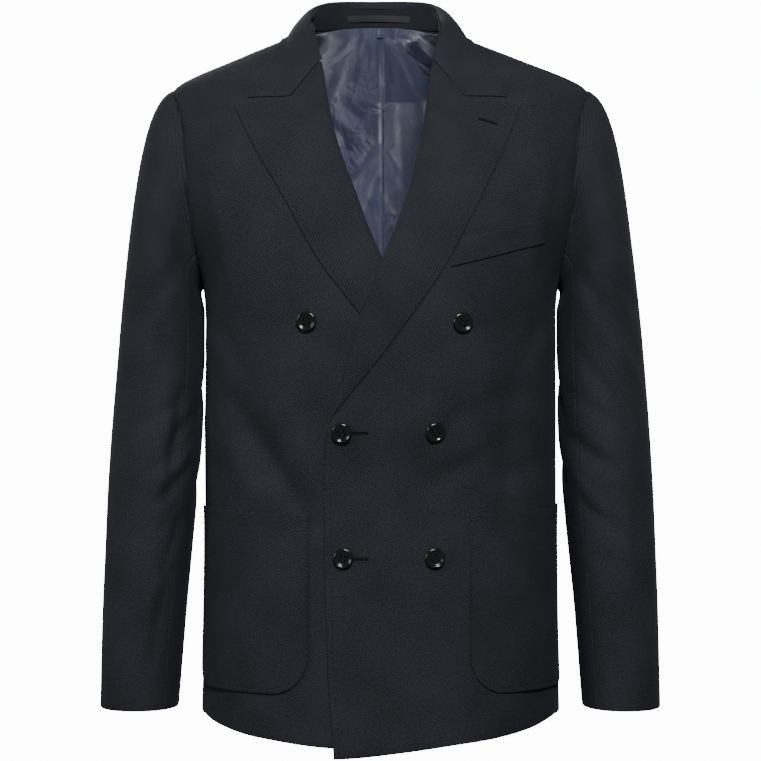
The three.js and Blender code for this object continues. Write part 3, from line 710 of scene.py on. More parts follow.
def grain_of(p):
    """Distances in mm across and up a net from its middle, for the weave to follow."""
    found = []
    for axis in (1, 0):
        steps = np.linalg.norm(np.diff(p, axis=axis), axis=2)
        far = np.insert(np.cumsum(steps, axis=axis), 0, 0, axis=axis)
        middle = far.shape[axis] // 2
        found.append(far - np.take(far, [middle], axis=axis))
    return np.stack(found, axis=-1)


EDGE_TUCK = 0.3


def shell(name, p, thick, flip, materials):
    """A closed sheet of cloth over a net: its outer face, its inner face and a rounded edge."""
    normal = net_normals(p) * (-1 if flip else 1)
    away = rim_outward(p)
    rows, columns = p.shape[:2]
    walk = rim_walk(rows, columns)
    i, j = walk[:, 0], walk[:, 1]
    p = p.copy()
    p[i, j] -= away[i, j] * thick * EDGE_TUCK
    inner = p - normal * thick
    middle = (p[i, j] + inner[i, j]) / 2
    loops = []
    for turn in (45, 90, 135):
        c, s = math.cos(math.radians(turn)), math.sin(math.radians(turn))
        loops.append(middle + normal[i, j] * c * thick / 2 + away[i, j] * s * thick / 2)
    grain = grain_of(p)
    points = np.concatenate([p.reshape(-1, 3), inner.reshape(-1, 3), *loops])
    uv = np.concatenate([grain.reshape(-1, 2)] * 2 + [grain[i, j]] * 3)
    n = rows * columns
    number = np.arange(n).reshape(rows, columns)
    a, b = number[:-1, :-1].ravel(), number[:-1, 1:].ravel()
    c, d = number[1:, 1:].ravel(), number[1:, :-1].ravel()
    outer_faces = np.stack([a, b, c, d], axis=1)
    inner_faces = np.stack([a, d, c, b], axis=1) + n
    edge = number[i, j]
    count = len(walk)
    rings = [edge, *[2 * n + k * count + np.arange(count) for k in range(3)], edge + n]
    rim_faces = []
    for first, second in zip(rings, rings[1:]):
        rim_faces.append(
            np.stack([first, second, np.roll(second, -1), np.roll(first, -1)], axis=1)
        )
    faces = np.concatenate([outer_faces, inner_faces, *rim_faces])
    if flip:
        faces = faces[:, ::-1]
    kinds = np.zeros(len(faces), np.int32)
    kinds[len(outer_faces) : 2 * len(outer_faces)] = len(materials) - 1
    return cloth_piece(name, points, faces, uv, materials, kinds)


def put_in_scene(name, data):
    """An object of its own for a mesh, a lamp or a camera."""
    obj = bpy.data.objects.new(name, data)
    bpy.context.collection.objects.link(obj)
    return obj


def cloth_piece(name, points, faces, uv, materials, kinds):
    """An object from points in mm and four-sided faces, with its grain as a UV map."""
    mesh = bpy.data.meshes.new(name)
    size = faces.shape[1]
    mesh.vertices.add(len(points))
    mesh.vertices.foreach_set("co", (points * MM).astype(np.float32).ravel())
    mesh.loops.add(faces.size)
    mesh.loops.foreach_set("vertex_index", faces.astype(np.int32).ravel())
    mesh.polygons.add(len(faces))
    mesh.polygons.foreach_set("loop_start", np.arange(0, faces.size, size, dtype=np.int32))
    mesh.update(calc_edges=True)
    layer = mesh.uv_layers.new(name="grain")
    layer.data.foreach_set("uv", (uv[faces.ravel()] * GRAIN_SCALE).astype(np.float32).ravel())
    for material in materials:
        mesh.materials.append(material)
    mesh.polygons.foreach_set("material_index", kinds)
    mesh.polygons.foreach_set("use_smooth", np.ones(len(faces), bool))
    mesh.validate()
    return put_in_scene(name, mesh)


def loose_piece(name, points, faces, material):
    """An object from points in mm and faces of any number of sides."""
    mesh = bpy.data.meshes.new(name)
    mesh.from_pydata([tuple(p) for p in np.asarray(points) * MM], [], faces)
    mesh.materials.append(material)
    mesh.polygons.foreach_set("use_smooth", np.ones(len(mesh.polygons), bool))
    mesh.validate()
    mesh.update()
    return put_in_scene(name, mesh)


STITCH_INSET = 6.0
STITCH_LIFT = 0.05
STITCH_LENGTH = 1.9
STITCH_WIDTH = 0.8
STITCH_HEIGHT = 0.28


def stitch_line(p, flip, side, inset=STITCH_INSET):
    """A line just inside one side of a net, on its outer face, and the way off the cloth along it."""
    normal = net_normals(p) * (-1 if flip else 1)
    edge, next_in, up = {
        "left": (p[:, 0], p[:, 1], normal[:, 0]),
        "right": (p[:, -1], p[:, -2], normal[:, -1]),
        "foot": (p[0], p[1], normal[0]),
        "head": (p[-1], p[-2], normal[-1]),
    }[side]
    return edge + unit(next_in - edge) * inset + up * STITCH_LIFT, up


def stitches_along(path, up, spacing):
    """Points and faces of small pricked stitches, spaced along a line."""
    steps = np.linalg.norm(np.diff(path, axis=0), axis=1)
    far = np.concatenate([[0], np.cumsum(steps)])
    at = np.arange(spacing, far[-1] - spacing / 2, spacing)
    if not len(at):
        return np.zeros((0, 3)), np.zeros((0, 3), int)
    places = np.stack([np.interp(at, far, path[:, k]) for k in range(3)], axis=1)
    ahead = np.stack([np.interp(at + 0.5, far, path[:, k]) for k in range(3)], axis=1)
    lift = unit(np.stack([np.interp(at, far, up[:, k]) for k in range(3)], axis=1))
    along = unit(ahead - places)
    across = unit(np.cross(lift, along))
    ring = []
    for k in range(6):
        turn = k * math.pi / 3
        side = across * STITCH_WIDTH / 2 * math.cos(turn)
        ring.append(side + lift * STITCH_HEIGHT * math.sin(turn))
    shape = [-along * STITCH_LENGTH / 2, *ring, along * STITCH_LENGTH / 2]
    points = np.stack([places + s for s in shape], axis=1)
    faces = []
    for k in range(6):
        m = (k + 1) % 6
        faces += [(0, 1 + m, 1 + k), (7, 1 + k, 1 + m)]
    faces = np.array(faces)[None] + 8 * np.arange(len(at))[:, None, None]
    return points.reshape(-1, 3), faces.reshape(-1, 3)


class Wire:
    """A node's output, with arithmetic that adds Math nodes."""

    def __init__(self, finish, socket):
        self.finish = finish
        self.socket = socket

    def math(self, operation, *others, swap=False):
        values = (*others, self) if swap else (self, *others)
        return self.finish.add("ShaderNodeMath", {"operation": operation}, *values)

    def __add__(self, other):
        return self.math("ADD", other)

    def __radd__(self, other):
        return self.math("ADD", other, swap=True)

    def __sub__(self, other):
        return self.math("SUBTRACT", other)

    def __rsub__(self, other):
        return self.math("SUBTRACT", other, swap=True)

    def __mul__(self, other):
        return self.math("MULTIPLY", other)

    def __rmul__(self, other):
        return self.math("MULTIPLY", other, swap=True)


class Finish:
    """A material made from nodes, ending in one Principled shader."""

    def __init__(self, name, **constants):
        self.material = bpy.data.materials.new(name)
        self.material.use_nodes = True
        self.tree = self.material.node_tree
        self.shader = self.tree.nodes["Principled BSDF"]
        for socket, value in constants.items():
            self.shader.inputs[socket.replace("_", " ")].default_value = value

    def add(self, kind, settings, *values, output=0, at=None, **named):
        """A node of any kind: its settings first, then the values or links of its sockets."""
        node = self.tree.nodes.new(kind)
        for key, value in settings.items():
            setattr(node, key, value)
        for key, value in (*enumerate(values), *(at or {}).items()):
            self.put(node.inputs[key], value)
        for key, value in named.items():
            self.put(node.inputs[key.replace("_", " ")], value)
        return Wire(self, node.outputs[output])

    def put(self, socket, value):
        if isinstance(value, Wire):
            self.tree.links.new(value.socket, socket)
        elif value is not None:
            socket.default_value = value

    def feed(self, socket, value):
        """Sets or links one of the shader's own sockets."""
        self.put(self.shader.inputs[socket], value)

    def grain(self):
        """The cloth's own directions: mm across and mm up."""
        uv = self.add("ShaderNodeUVMap", {"uv_map": "grain"})
        across, up, _ = self.axes(uv)
        return uv, across * (1 / GRAIN_SCALE), up * (1 / GRAIN_SCALE)

    def axes(self, place):
        """The three measures of a place."""
        parts = self.add("ShaderNodeSeparateXYZ", {}, place)
        return [Wire(self, socket) for socket in parts.socket.node.outputs]

    def noise(self, place, scale, detail, roughness, distortion=0.0):
        return self.add(
            "ShaderNodeTexNoise",
            {},
            Vector=place,
            Scale=scale,
            Detail=detail,
            Roughness=roughness,
            Distortion=distortion,
        )

    def blend(self, amount, low, high):
        """One colour where amount is 0 and another where it is 1."""
        return self.add("ShaderNodeMix", {"data_type": "RGBA"}, at={0: amount, 6: low, 7: high}, output=2)

    def bump(self, height, strength, distance):
        made = self.add("ShaderNodeBump", {}, Strength=strength, Distance=distance, Height=height)
        self.feed("Normal", made)


def shade(colour, amount=1.0):
    """A colour made darker or lighter, with its alpha."""
    return [min(1.0, c * amount) for c in colour] + [1]


def wool(name, look, tone):
    """Wool with a fine dotted weave: light specks on a near black ground."""
    f = Finish(name, Sheen_Weight=0.015, Sheen_Roughness=0.4, Specular_IOR_Level=0.06)
    f.feed("Sheen Tint", (0.55, 0.6, 0.75, 1))
    uv, across, up = f.grain()
    pitch = 2 * math.pi / look.weave_pitch
    dots = (across * pitch).math("SINE") * (up * pitch).math("SINE")
    twill = ((across + up) * (pitch * 2.0)).math("SINE")
    speck = dots * 0.5 + 0.5
    mottle = f.noise(uv, 34.0, 3.0, 0.6)
    cloud = f.noise(uv, 1.6, 2.0, 0.5)
    slub = f.noise(uv, 62.0, 2.0, 0.6)
    amount = speck * 0.4 + mottle * 0.35 + slub * 0.9 + cloud * 0.4 - 0.6
    f.feed("Base Color", f.blend(amount, shade(look.cloth_dark, tone), shade(look.cloth_light, tone)))
    f.feed("Roughness", 0.92 - speck * 0.14)
    f.bump(speck * 0.6 + twill * 0.1 + slub * 0.8, 0.7, 0.0005)
    return f.material


def satin(name, colour, gloss, crumple):
    """Satin: a smooth close twill with a soft gloss, faint streaks and fine crumples."""
    f = Finish(name, Anisotropic=0.4, Specular_IOR_Level=gloss)
    uv, across, up = f.grain()
    stretched = f.add("ShaderNodeCombineXYZ", {}, across * 1.6, up * 0.05, 0.0)
    streak = f.noise(stretched, 1.0, 3.0, 0.6)
    cloud = f.noise(uv, 2.2, 2.0, 0.5)
    amount = streak * 0.5 + cloud * 0.5
    f.feed("Base Color", f.blend(amount, shade(colour, 0.75), shade(colour, 1.25)))
    f.feed("Roughness", 0.3 + streak * 0.14)
    twill = ((across + up * 1.7) * 9.0).math("SINE")
    wrinkle = f.noise(uv, 2.1, 4.0, 0.55, 0.9)
    f.bump(twill * 0.02 + streak * 0.06 + wrinkle * crumple, 0.8, 0.006)
    return f.material


def twisted_thread(name, colour):
    """Sewing thread: a fine slanting twist."""
    f = Finish(name, Roughness=0.8, Specular_IOR_Level=0.08)
    x, y, z = f.axes(f.add("ShaderNodeTexCoord", {}, output=3))
    twist = ((x + y * 0.5 + z) * 9000.0).math("SINE") * 0.5 + 0.5
    f.feed("Base Color", f.blend(twist, shade(colour, 0.6), shade(colour)))
    f.bump(twist, 0.5, 0.0002)
    return f.material


def suiting(look):
    return wool("suiting", look, 1.0)


def facing(look):
    return wool("suiting_facing", look, 0.98)


# Painted shade: the suiting made a fifth darker, for the stand inside the back neck
def stand_suiting_painted_shade(look):
    return wool("undercollar_cloth", look, 0.8)


def lining(look):
    return satin("lining_satin", look.lining_colour, 0.62, 1.9)


def loop_tape(look):
    return satin("hanger_loop_satin", look.loop_colour, 0.25, 0.05)


def stitch_thread(look):
    return twisted_thread("sewing_thread", look.thread_colour)


def button_thread(look):
    return twisted_thread("button_thread", look.button_thread_colour)


def button_polish(look):
    """Black polished button: clouded very slightly, with hairline scratches in its gloss."""
    f = Finish("polished_black_button", Specular_IOR_Level=0.32)
    place = f.add("ShaderNodeTexCoord", {}, output=3)
    cloud = f.noise(place, 120.0, 4.0, 0.6)
    hair = f.noise(place, 900.0, 2.0, 0.7)
    dark, light = shade(look.button_colour, 0.4), shade(look.button_colour, 2.2)
    f.feed("Base Color", f.blend(cloud, dark, light))
    f.feed("Roughness", 0.1 + hair * 0.08)
    f.bump(hair, 0.02, 0.0001)
    return f.material


def plain_backdrop(look):
    """Matt paper that gives off some light of its own."""
    f = Finish("plain_backdrop", Roughness=0.95, Emission_Strength=look.backdrop_glow)
    f.feed("Emission Color", (1, 1, 1, 1))
    fibre = f.noise(None, 14.0, 2.0, 0.5)
    f.feed("Base Color", f.blend(fibre, shade(look.backdrop_colour, 0.985), shade(look.backdrop_colour)))
    return f.material


FINISHES = {}


def finish(maker):
    """What a finish's maker gives, made once."""
    if maker not in FINISHES:
        FINISHES[maker] = maker(bpy.context.scene.blazer_look)
    return FINISHES[maker]


def body_rows(low, high):
    """Heights from the hem to the neck, finer over the shoulders."""
    return marks(SIDE_HEM, (ROWS_SPLIT, low), (NECK_POINT, high))


def hemmed(z, hem):
    """Heights drawn down or up near the hem, so that the last one lies on it."""
    scaled = HEM_BAND_TOP + (z - HEM_BAND_TOP) * (hem - HEM_BAND_TOP) / (SIDE_HEM - HEM_BAND_TOP)
    return np.where(z >= HEM_BAND_TOP, z, scaled)


def front_net(hand):
    """A front, from its edge or roll line to the side seam, armhole and shoulder seam."""

    def surface(u, row):
        inner = hand * length_at_x(row, roll_x(hand, row) - lean(row)) + SEAM_GAP / 2
        inner = inner + ROLL_TRIM * ease(LAPEL_FOOT - 6, LAPEL_FOOT + 14, row)
        end = length_at_y(row, outer_y(row, FRONT_SEAM_Y, ARMHOLE_FRONT)) - SEAM_GAP / 2
        length = mix(inner, end, u)
        x = np.sign(length) * ring_place(row, turn_at(row, length))[0]
        z = hemmed(row, curve(HEM[hand], "z", x))
        return form(hand * length, z, lap_out(hand, x, z), 1.0)

    us = marks(0, (0.004, 1), (0.01, 1), (0.02, 1), (0.99, 69), (1, 1))
    return net(us, body_rows(149, 51), surface)


def side_net(hand):
    """A side panel, from the hem up to the foot of the armhole."""

    def surface(u, v):
        y = mix(FRONT_SEAM_Y, BACK_SEAM_Y, u)
        reach = np.where(y < 0, ARMHOLE_FRONT, ARMHOLE_BACK)
        top = ARMHOLE_MIDDLE - ARMHOLE_HALF * np.sqrt(1 - (y / reach) ** 2)
        z = mix(mix(SIDE_HEM - 3, BACK_HEM, u), top - SEAM_GAP, v)
        shift = mix(SEAM_GAP / 2, -SEAM_GAP / 2, u)
        return form(hand * (length_at_y(z, y) + shift), z, 0.0, 1.0)

    return net(np.linspace(0, 1, 26), np.linspace(0, 1, 120), surface)


def back_surface(hand, foot, out=0.0, edge_in=0.0, shoulder_ease=0.0, fine=1.0):
    """A layer of the back: u runs from its middle to the side, v from its foot to the neck."""

    def surface(u, v):
        row = mix(foot, NECK_POINT, v)
        rise = NAPE_RISE * ease(SHOULDER_POINT, NECK_POINT, row) * np.cos(u * math.pi / 2) ** 2
        z = row + rise
        middle = half_girth(z) - edge_in
        end = length_at_y(z, outer_y(z, BACK_SEAM_Y, ARMHOLE_BACK)) + edge_in
        near = np.exp(-(((z - SHOULDER_POINT + 10) / 30) ** 2))
        length = mix(middle, end, u)
        return form(hand * length, z, out - shoulder_ease * near, fine)

    return surface


def back_net(hand):
    """Half of the back, from its middle seam to the side seam, armhole and shoulder seam."""
    rows = (body_rows(126, 43) - SIDE_HEM) / (NECK_POINT - SIDE_HEM)
    return net(np.linspace(0, 1, 52), rows, back_surface(hand, BACK_HEM, edge_in=SEAM_GAP / 2))


def lining_net(hand):
    """One half of the back lining: the right half laps the left one in a pleat down the middle."""
    rows = marks(LINING_FOOT, (-280, 69), (NECK_POINT, 169))
    lap = 0.5 if hand > 0 else PLEAT_LAP
    surface = back_surface(hand, LINING_FOOT, -LINING_DEPTH, shoulder_ease=1.6, fine=0.4)

    def creased(u, v):
        p = surface(u, v)
        x, z = p[..., 0], p[..., 2]
        p[..., 0] = x - hand * lap * (1 - u) ** 16
        ripple = unevenness(x * 3.1, z * 1.9, 1.2, 2.0) + unevenness(z * 3.3, x * 4.0, 0.8, 0.7)
        held = ease(NECK_POINT + 12, -14, z)
        inward = (trough(LINING_FOLDS, x, z) + ripple - LINING_EASE) * held
        if hand < 0:
            inward = inward - PLEAT_LIFT * np.exp(-((x / 13) ** 2)) * ease(14, -26, z)
        return p + off_form(p)[1] * np.minimum(inward, 0.2)[..., None]

    us = marks(0, (0.42, 63), (0.43, 1), (0.97, 33))
    return net(us, (rows - LINING_FOOT) / (NECK_POINT - LINING_FOOT), creased)


def armhole_point(angle):
    """A point of the armhole: angle 0 is its top and 90 its front."""
    turn = np.radians(angle)
    z = ARMHOLE_MIDDLE + ARMHOLE_HALF * np.cos(turn)
    reach = np.where(np.sin(turn) > 0, ARMHOLE_FRONT, ARMHOLE_BACK)
    y = -reach * np.sin(turn)
    return form(length_at_y(z, y), z) + np.array([SLEEVE_STAND_OFF, 0, 0])


def sleeve_ring(angle, z):
    """A point of a sleeve below its head: angle 0 is its outside and 90 its front."""
    turn = np.radians(angle)
    inner, outer = curve(SLEEVE, "inner", z), curve(SLEEVE, "outer", z)
    front, back = curve(SLEEVE, "front", z), curve(SLEEVE, "back", z)

    def rounded(value):
        return np.sign(value) * np.abs(value) ** (2 / SLEEVE_SQUARE)

    return stack(
        (inner + outer) / 2 + (outer - inner) / 2 * rounded(np.cos(turn)),
        (front + back) / 2 - (back - front) / 2 * rounded(np.sin(turn)),
        z,
    )


def sleeve_crease(hand, angle, z):
    """How deep a sleeve's creases are at a place."""
    depth = 0
    for middle, height, slant, width, deep in ELBOW_CREASES:
        away = (z - height - slant * (angle - middle)) / width
        near = (angle - middle) / ELBOW_REACH
        depth = depth + deep * np.exp(-away * away - near * near)
    lines = []
    for a0, z0, a1, z1, *rest in SLEEVE_CREASES[hand]:
        lines.append((a0 * SLEEVE_SCALE, z0, a1 * SLEEVE_SCALE, z1, *rest))
    depth = depth + SLEEVE_DEPTH * trough(lines, angle * SLEEVE_SCALE, z)
    return depth + unevenness(angle * 1.2, z * 0.8, 0.6, 1.3 * hand)


def sleeve_point(hand, angle, v):
    """A point of a sleeve: v runs from the cuff at 0 to the armhole at 1."""
    z = mix(CUFF, BICEP, np.minimum(v, CAP_START) / CAP_START)
    low = sleeve_ring(angle, z)
    middle = (sleeve_ring(0 * angle, z) + sleeve_ring(0 * angle + 180, z)) / 2
    inward = unit((middle - low) * np.array([1, 1, 0]))
    t = (1 - np.clip((v - CAP_START) / (1 - CAP_START), 0, 1))[..., None]
    start = armhole_point(angle)
    end = sleeve_ring(angle, np.full(np.shape(angle), float(BICEP)))
    span = np.linalg.norm(end - start, axis=-1, keepdims=True)
    turn = np.radians(angle)
    lead = unit(stack(1.0, -0.5 * np.sin(turn), -0.32 - 0.45 * (1 - np.cos(turn))))
    one = start + lead * np.minimum(CAP_REACH, 0.3 * span)
    two = end + stack(-0.052 * np.maximum(0, np.cos(turn)), 0.0, 0.48) * span
    p = np.where((v > CAP_START)[..., None], arc(start, one, two, end, t), low)
    depth = sleeve_crease(hand, angle, p[..., 2]) * ease(1.0, 0.9, v)
    return p + inward * depth[..., None]


def sleeve_net(hand, start, end, columns):
    """Part of a sleeve, with its head turned in under the armhole seam."""
    angles = np.linspace(start + SLEEVE_TRIM, end - SLEEVE_TRIM, columns)
    u, v = np.meshgrid(angles, marks(0, (CAP_START, 104), (1, 61)))
    p = sleeve_point(hand, u, v)
    seam = p[-1]
    out = off_form(seam)[1]
    p = np.concatenate([p, *[(seam - out * depth)[None] for depth in SLEEVE_TURNED_IN]])
    if hand < 0:
        p = p * np.array([-1, 1, 1])
    return p


def lapel_outline(hand, u, v):
    """A lapel as seen from the front: u from its roll to its edge, v from its foot to the gorge."""
    roll_z = mix(LAPEL_FOOT, GORGE_TOP[1], v)
    edge_z = mix(LAPEL_FOOT + 10, PEAK[1], v)
    rolls = (roll_x(hand, roll_z), roll_z)
    edges = (front_middle(edge_z) + hand * curve(LAPEL_EDGE, "half", edge_z), edge_z)
    starts = (float(roll_x(hand, GORGE_TOP[1])), GORGE_TOP[1])
    bends = (float(front_middle(GORGE_CORNER[1])) + hand * GORGE_CORNER[0], GORGE_CORNER[1])
    peaks = (float(front_middle(PEAK[1])) + hand * PEAK[0], PEAK[1])
    found = []
    for roll, edge, start, bend, peak in zip(rolls, edges, starts, bends, peaks):
        top = bent(start, bend, peak, u, GORGE_BEND)
        found.append(mix(roll, edge, u) + (top - mix(start, peak, u)) * v**3)
    return found


def lapel_net(hand):
    """A lapel with its roll: the cloth comes from inside the front, turns and lies on it."""
    top = TURNED_GAP + TURNED_CLOTH
    under = -(CLOTH + 0.7)
    radius = (top - under) / 2
    vs = marks(0, (0.06, 7), (0.9, 89), (1, 17))
    x0, z0 = lapel_outline(hand, 0 * vs, vs)
    x1, z1 = lapel_outline(hand, 0 * vs + 1, vs)
    width = np.hypot(x1 - x0, z1 - z0)
    xa, za = lapel_outline(hand, 0 * vs + 0.2, vs)
    way = unit(np.stack([xa - x0, za - z0], axis=-1))
    bite = np.minimum(radius, 0.3 * width)
    columns = []
    for depth in LAPEL_INSIDE:
        d = np.minimum(bite + depth, 0.8 * width + 2)
        columns.append((x0 + way[:, 0] * d, z0 + way[:, 1] * d, under + 0 * vs))
    for turn in np.radians(np.linspace(-90, 90, LAPEL_ROLL_STEPS)):
        d = bite * (1 - math.cos(turn))
        out = (top + under) / 2 + radius * math.sin(turn) + 0 * vs
        columns.append((x0 + way[:, 0] * d, z0 + way[:, 1] * d, out))
    for share in marks(0, (0.2, 8), (1, 29))[1:]:
        u = mix(bite / width, 1, share)
        bulge = LAPEL_BULGE * np.sin(math.pi * u**0.6) * ease(0, 0.25, vs)
        columns.append((*lapel_outline(hand, u, vs), top + bulge))
    return np.stack([front_point(hand, x, z, out, 0.6) for x, z, out in columns], axis=1)


def collar_part(at, part):
    """The crest or the edge of the collar at a station."""
    return stack(*[curve(COLLAR, part + axis, at) for axis in "XYZ"])


def collar_outward(at):
    """The way off the collar's fall at a station."""
    ahead = collar_part(np.minimum(COLLAR_END, at + 0.3), "crest")
    along = ahead - collar_part(np.maximum(0, at - 0.3), "crest")
    along = np.where((at < 0.3)[..., None], np.array([1.0, 0, 0]), along)
    return unit(np.cross(along, collar_part(at, "edge") - collar_part(at, "crest")))


def collar_point(station, w):
    """The fall of the collar, from its crest at w 0 to its edge at 1."""
    hand = np.where(station < 0, -1.0, 1.0)
    at = np.abs(station)
    crest, edge = collar_part(at, "crest"), collar_part(at, "edge")
    outward = collar_outward(at)
    roll, bulge = curve(COLLAR, "roll", at)[..., None], curve(COLLAR, "bulge", at)[..., None]
    one = crest + outward * roll
    two = mix(edge, crest, 0.45) + outward * bulge
    p = arc(crest, one, two, edge, w[..., None])
    p[..., 0] = hand * p[..., 0] + front_middle(p[..., 2])
    end = ease(5, COLLAR_END, at) ** 2
    share = 1.65 * (1 - w) * w * w + w**3
    shift = []
    for axis, corner in ((0, GORGE_CORNER[0] + 0.6), (2, GORGE_CORNER[1] + COLLAR_GAP)):
        first, last = crest[..., axis], edge[..., axis]
        moved = bent(first, corner, last, share, COLLAR_BEND)
        shift.append(end * (moved - mix(first, last, share)))
    x = p[..., 0] + hand * shift[0]
    z = p[..., 2] + shift[1]
    before = front_point(-1, -np.abs(p[..., 0]), p[..., 2], fine=0.0)[..., 1]
    after = front_point(-1, -np.abs(x), z, fine=0.0)[..., 1]
    p = stack(x, p[..., 1] + np.where(end > 0, after - before, 0), z)
    clear = np.maximum(ease(0, 0.3, w), ease(4, 6.5, at))
    return stand_off(p, (TURNED_GAP + TURNED_CLOTH) * clear)


def stand_point(station, w):
    """The stand, from the back's neck edge at w 0 to just under the collar's crest at 1."""
    hand = np.where(station < 0, -1.0, 1.0)
    at = np.abs(station)
    share = curve(COLLAR, "foot", at)
    foot = back_surface(1, BACK_HEM, fine=0.0)(share, np.ones_like(share))
    shift = lean(foot[..., 2])
    foot[..., 0] = hand * (foot[..., 0] - shift) + shift
    foot[..., 2] += 1
    head = collar_part(at, "crest")
    head[..., 0] = hand * head[..., 0] + front_middle(head[..., 2])
    head[..., 2] -= CLOTH + 2.2
    inward = unit(foot * np.array([-1, -1, 0]))
    return mix(foot + inward * STAND_CLOTH, head + inward * 1.2, w[..., None])


def collar_net():
    """The fall, with its crest turned over to the inside of the neck."""
    stations = marks(-COLLAR_END, (-6.5, 17), (6.5, 109), (COLLAR_END, 17))
    fall = net(stations, marks(0, (0.3, 11), (1, 25)), collar_point)
    at = np.abs(stations)
    hand = np.where(stations < 0, -1.0, 1.0)
    outward = collar_outward(at)
    down = unit(collar_part(at, "edge") - collar_part(at, "crest"))
    for v in (outward, down):
        v[..., 0] *= hand
    crest = fall[0]
    turned = []
    depth = np.where(at < 5, 1.0, 0.75)[:, None]
    for out, drop in COLLAR_TURNED_IN:
        turned.append(crest + outward * out * depth + down * drop * depth)
    return np.concatenate([np.array(turned), fall])


def stand_net():
    """The collar stand, round the neck between the two ends of the collar's back."""
    return net(np.linspace(-STAND_END, STAND_END, 90), np.linspace(0, 1, 10), stand_point)


def loop_net():
    """The hanger loop: a tape that lies on the stand, slack between its two ends."""

    def surface(u, w):
        p = stand_point(mix(*LOOP_ENDS, u), mix(*LOOP_HEIGHTS, w))
        slack = 1.2 * np.sin(math.pi * u) ** 2
        end = 0.3 * (np.exp(-((u / 0.03) ** 2)) + np.exp(-(((1 - u) / 0.03) ** 2)))
        p[..., 1] -= LOOP_LIFT + slack - end
        return p

    return net(np.linspace(0, 1, 44), np.linspace(0, 1, 6), surface)


def pocket_net(hand):
    """A hip patch with rounded lower corners, a little slack at its mouth."""
    q = HIP_POCKET

    def surface(u, v):
        across = u * q["width"]
        side = np.minimum(np.minimum(across, q["width"] - across), q["corner"])
        round_it = q["corner"] - np.sqrt(q["corner"] ** 2 - (q["corner"] - side) ** 2)
        foot = q["bottom"] + round_it
        z = mix(foot, mix(q["top"], q["side_top"], u), v)
        length = length_at_x(z, front_middle(z) * hand + q["half"]) + across
        x = ring_place(z, turn_at(z, length))[0]
        slack = 1.2 * np.exp(-(((1 - v) / 0.05) ** 2)) * np.sin(math.pi * u)
        swell = 0.8 * np.sin(math.pi * v) * np.sin(math.pi * u)
        out = lap_out(hand, x, z) + PATCH_GAP + PATCH_CLOTH + slack + swell
        return form(hand * length, z, out, 0.5, folded=False)

    edge = 1 - np.cos(np.linspace(0, math.pi / 2, 16))
    us = np.concatenate([0.24 * edge, np.linspace(0.24, 0.76, 26)[1:-1], 1 - 0.24 * edge[::-1]])
    return net(us, marks(0, (0.94, 59), (0.95, 1), (1, 7)), surface)


def welt_net():
    """The breast welt, slanting up to the side."""

    def surface(u, v):
        foot = [mix(a, b, u) for a, b in zip(WELT["inner_foot"], WELT["outer_foot"])]
        top = [mix(a, b, u) for a, b in zip(WELT["inner_top"], WELT["outer_top"])]
        x, z = (mix(a, b, v) for a, b in zip(foot, top))
        lift = 0.5 * np.sin(math.pi * u) * v
        return front_point(1, x, z, PATCH_GAP + PATCH_CLOTH + lift)

    return net(np.linspace(0, 1, 44), np.linspace(0, 1, 14), surface)


def declare(obj, nodes):
    """A piece rides on the blazer's one body and stands for its solids."""
    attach(obj, "root")
    if nodes:
        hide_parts(*nodes)


SIDES = (("left", 1), ("right", -1))
# The lines to be pick stitched, gathered as the pieces are cut
STITCH_LINES = []


class BLAZER_OT_fronts(bpy.types.Operator):
    """Cut both fronts: chest, front edge and drag folds"""

    bl_idname = "blazer.fronts"
    bl_label = "Fronts"

    def execute(self, context):
        for side, hand in SIDES:
            p = front_net(hand)
            cloth = [finish(suiting), finish(lining)]
            obj = shell(f"{side}_front_cloth", p, CLOTH, hand < 0, cloth)
            declare(obj, [f"front_{side}"])
            if hand > 0:
                below = p[:, 0, 2] < LAPEL_FOOT - 4
                path, up = stitch_line(p, False, "left")
                STITCH_LINES.append((path[below], up[below]))
                STITCH_LINES.append(stitch_line(p, False, "foot"))
        return {"FINISHED"}


class BLAZER_OT_back(bpy.types.Operator):
    """Cut the side panels and the two backs"""

    bl_idname = "blazer.back"
    bl_label = "Sides and backs"

    def execute(self, context):
        for side, hand in SIDES:
            cloth = [finish(suiting), finish(lining)]
            obj = shell(f"{side}_side_cloth", side_net(hand), CLOTH, hand < 0, cloth)
            declare(obj, [f"side_{side}"])
            obj = shell(f"{side}_back_cloth", back_net(hand), CLOTH, hand > 0, cloth)
            declare(obj, [f"back_{side}"])
        return {"FINISHED"}


def bar_tack(place):
    """A short bar across the pleat, sewn over with upright stitches."""
    xs = np.linspace(-3.5, 3.5, 9)
    parts = [tube(place + stack(xs, -1.3, 0.0), 0.45, 6)]
    for x in xs[1:-1]:
        parts.append(tube(place + np.array([[x, -1.4, -0.9], [x + 0.2, -1.4, 0.9]]), 0.3, 6))
    return join_parts(parts)


class BLAZER_OT_lining(bpy.types.Operator):
    """Cut the satin lining of the back, with its pleat and the bar tack above it"""

    bl_idname = "blazer.lining"
    bl_label = "Back lining"

    def execute(self, context):
        for side, hand in SIDES:
            p = lining_net(hand)
            obj = shell(f"{side}_back_satin", p, SATIN_CLOTH, hand > 0, [finish(lining)])
            declare(obj, [f"back_lining_{side}"])
        edge = p[:, 0]
        points, faces = bar_tack(edge[np.argmin(np.abs(edge[:, 2] - PLEAT_TACK))])
        declare(loose_piece("pleat_bar_tack", points, faces, finish(stitch_thread)), [])
        return {"FINISHED"}


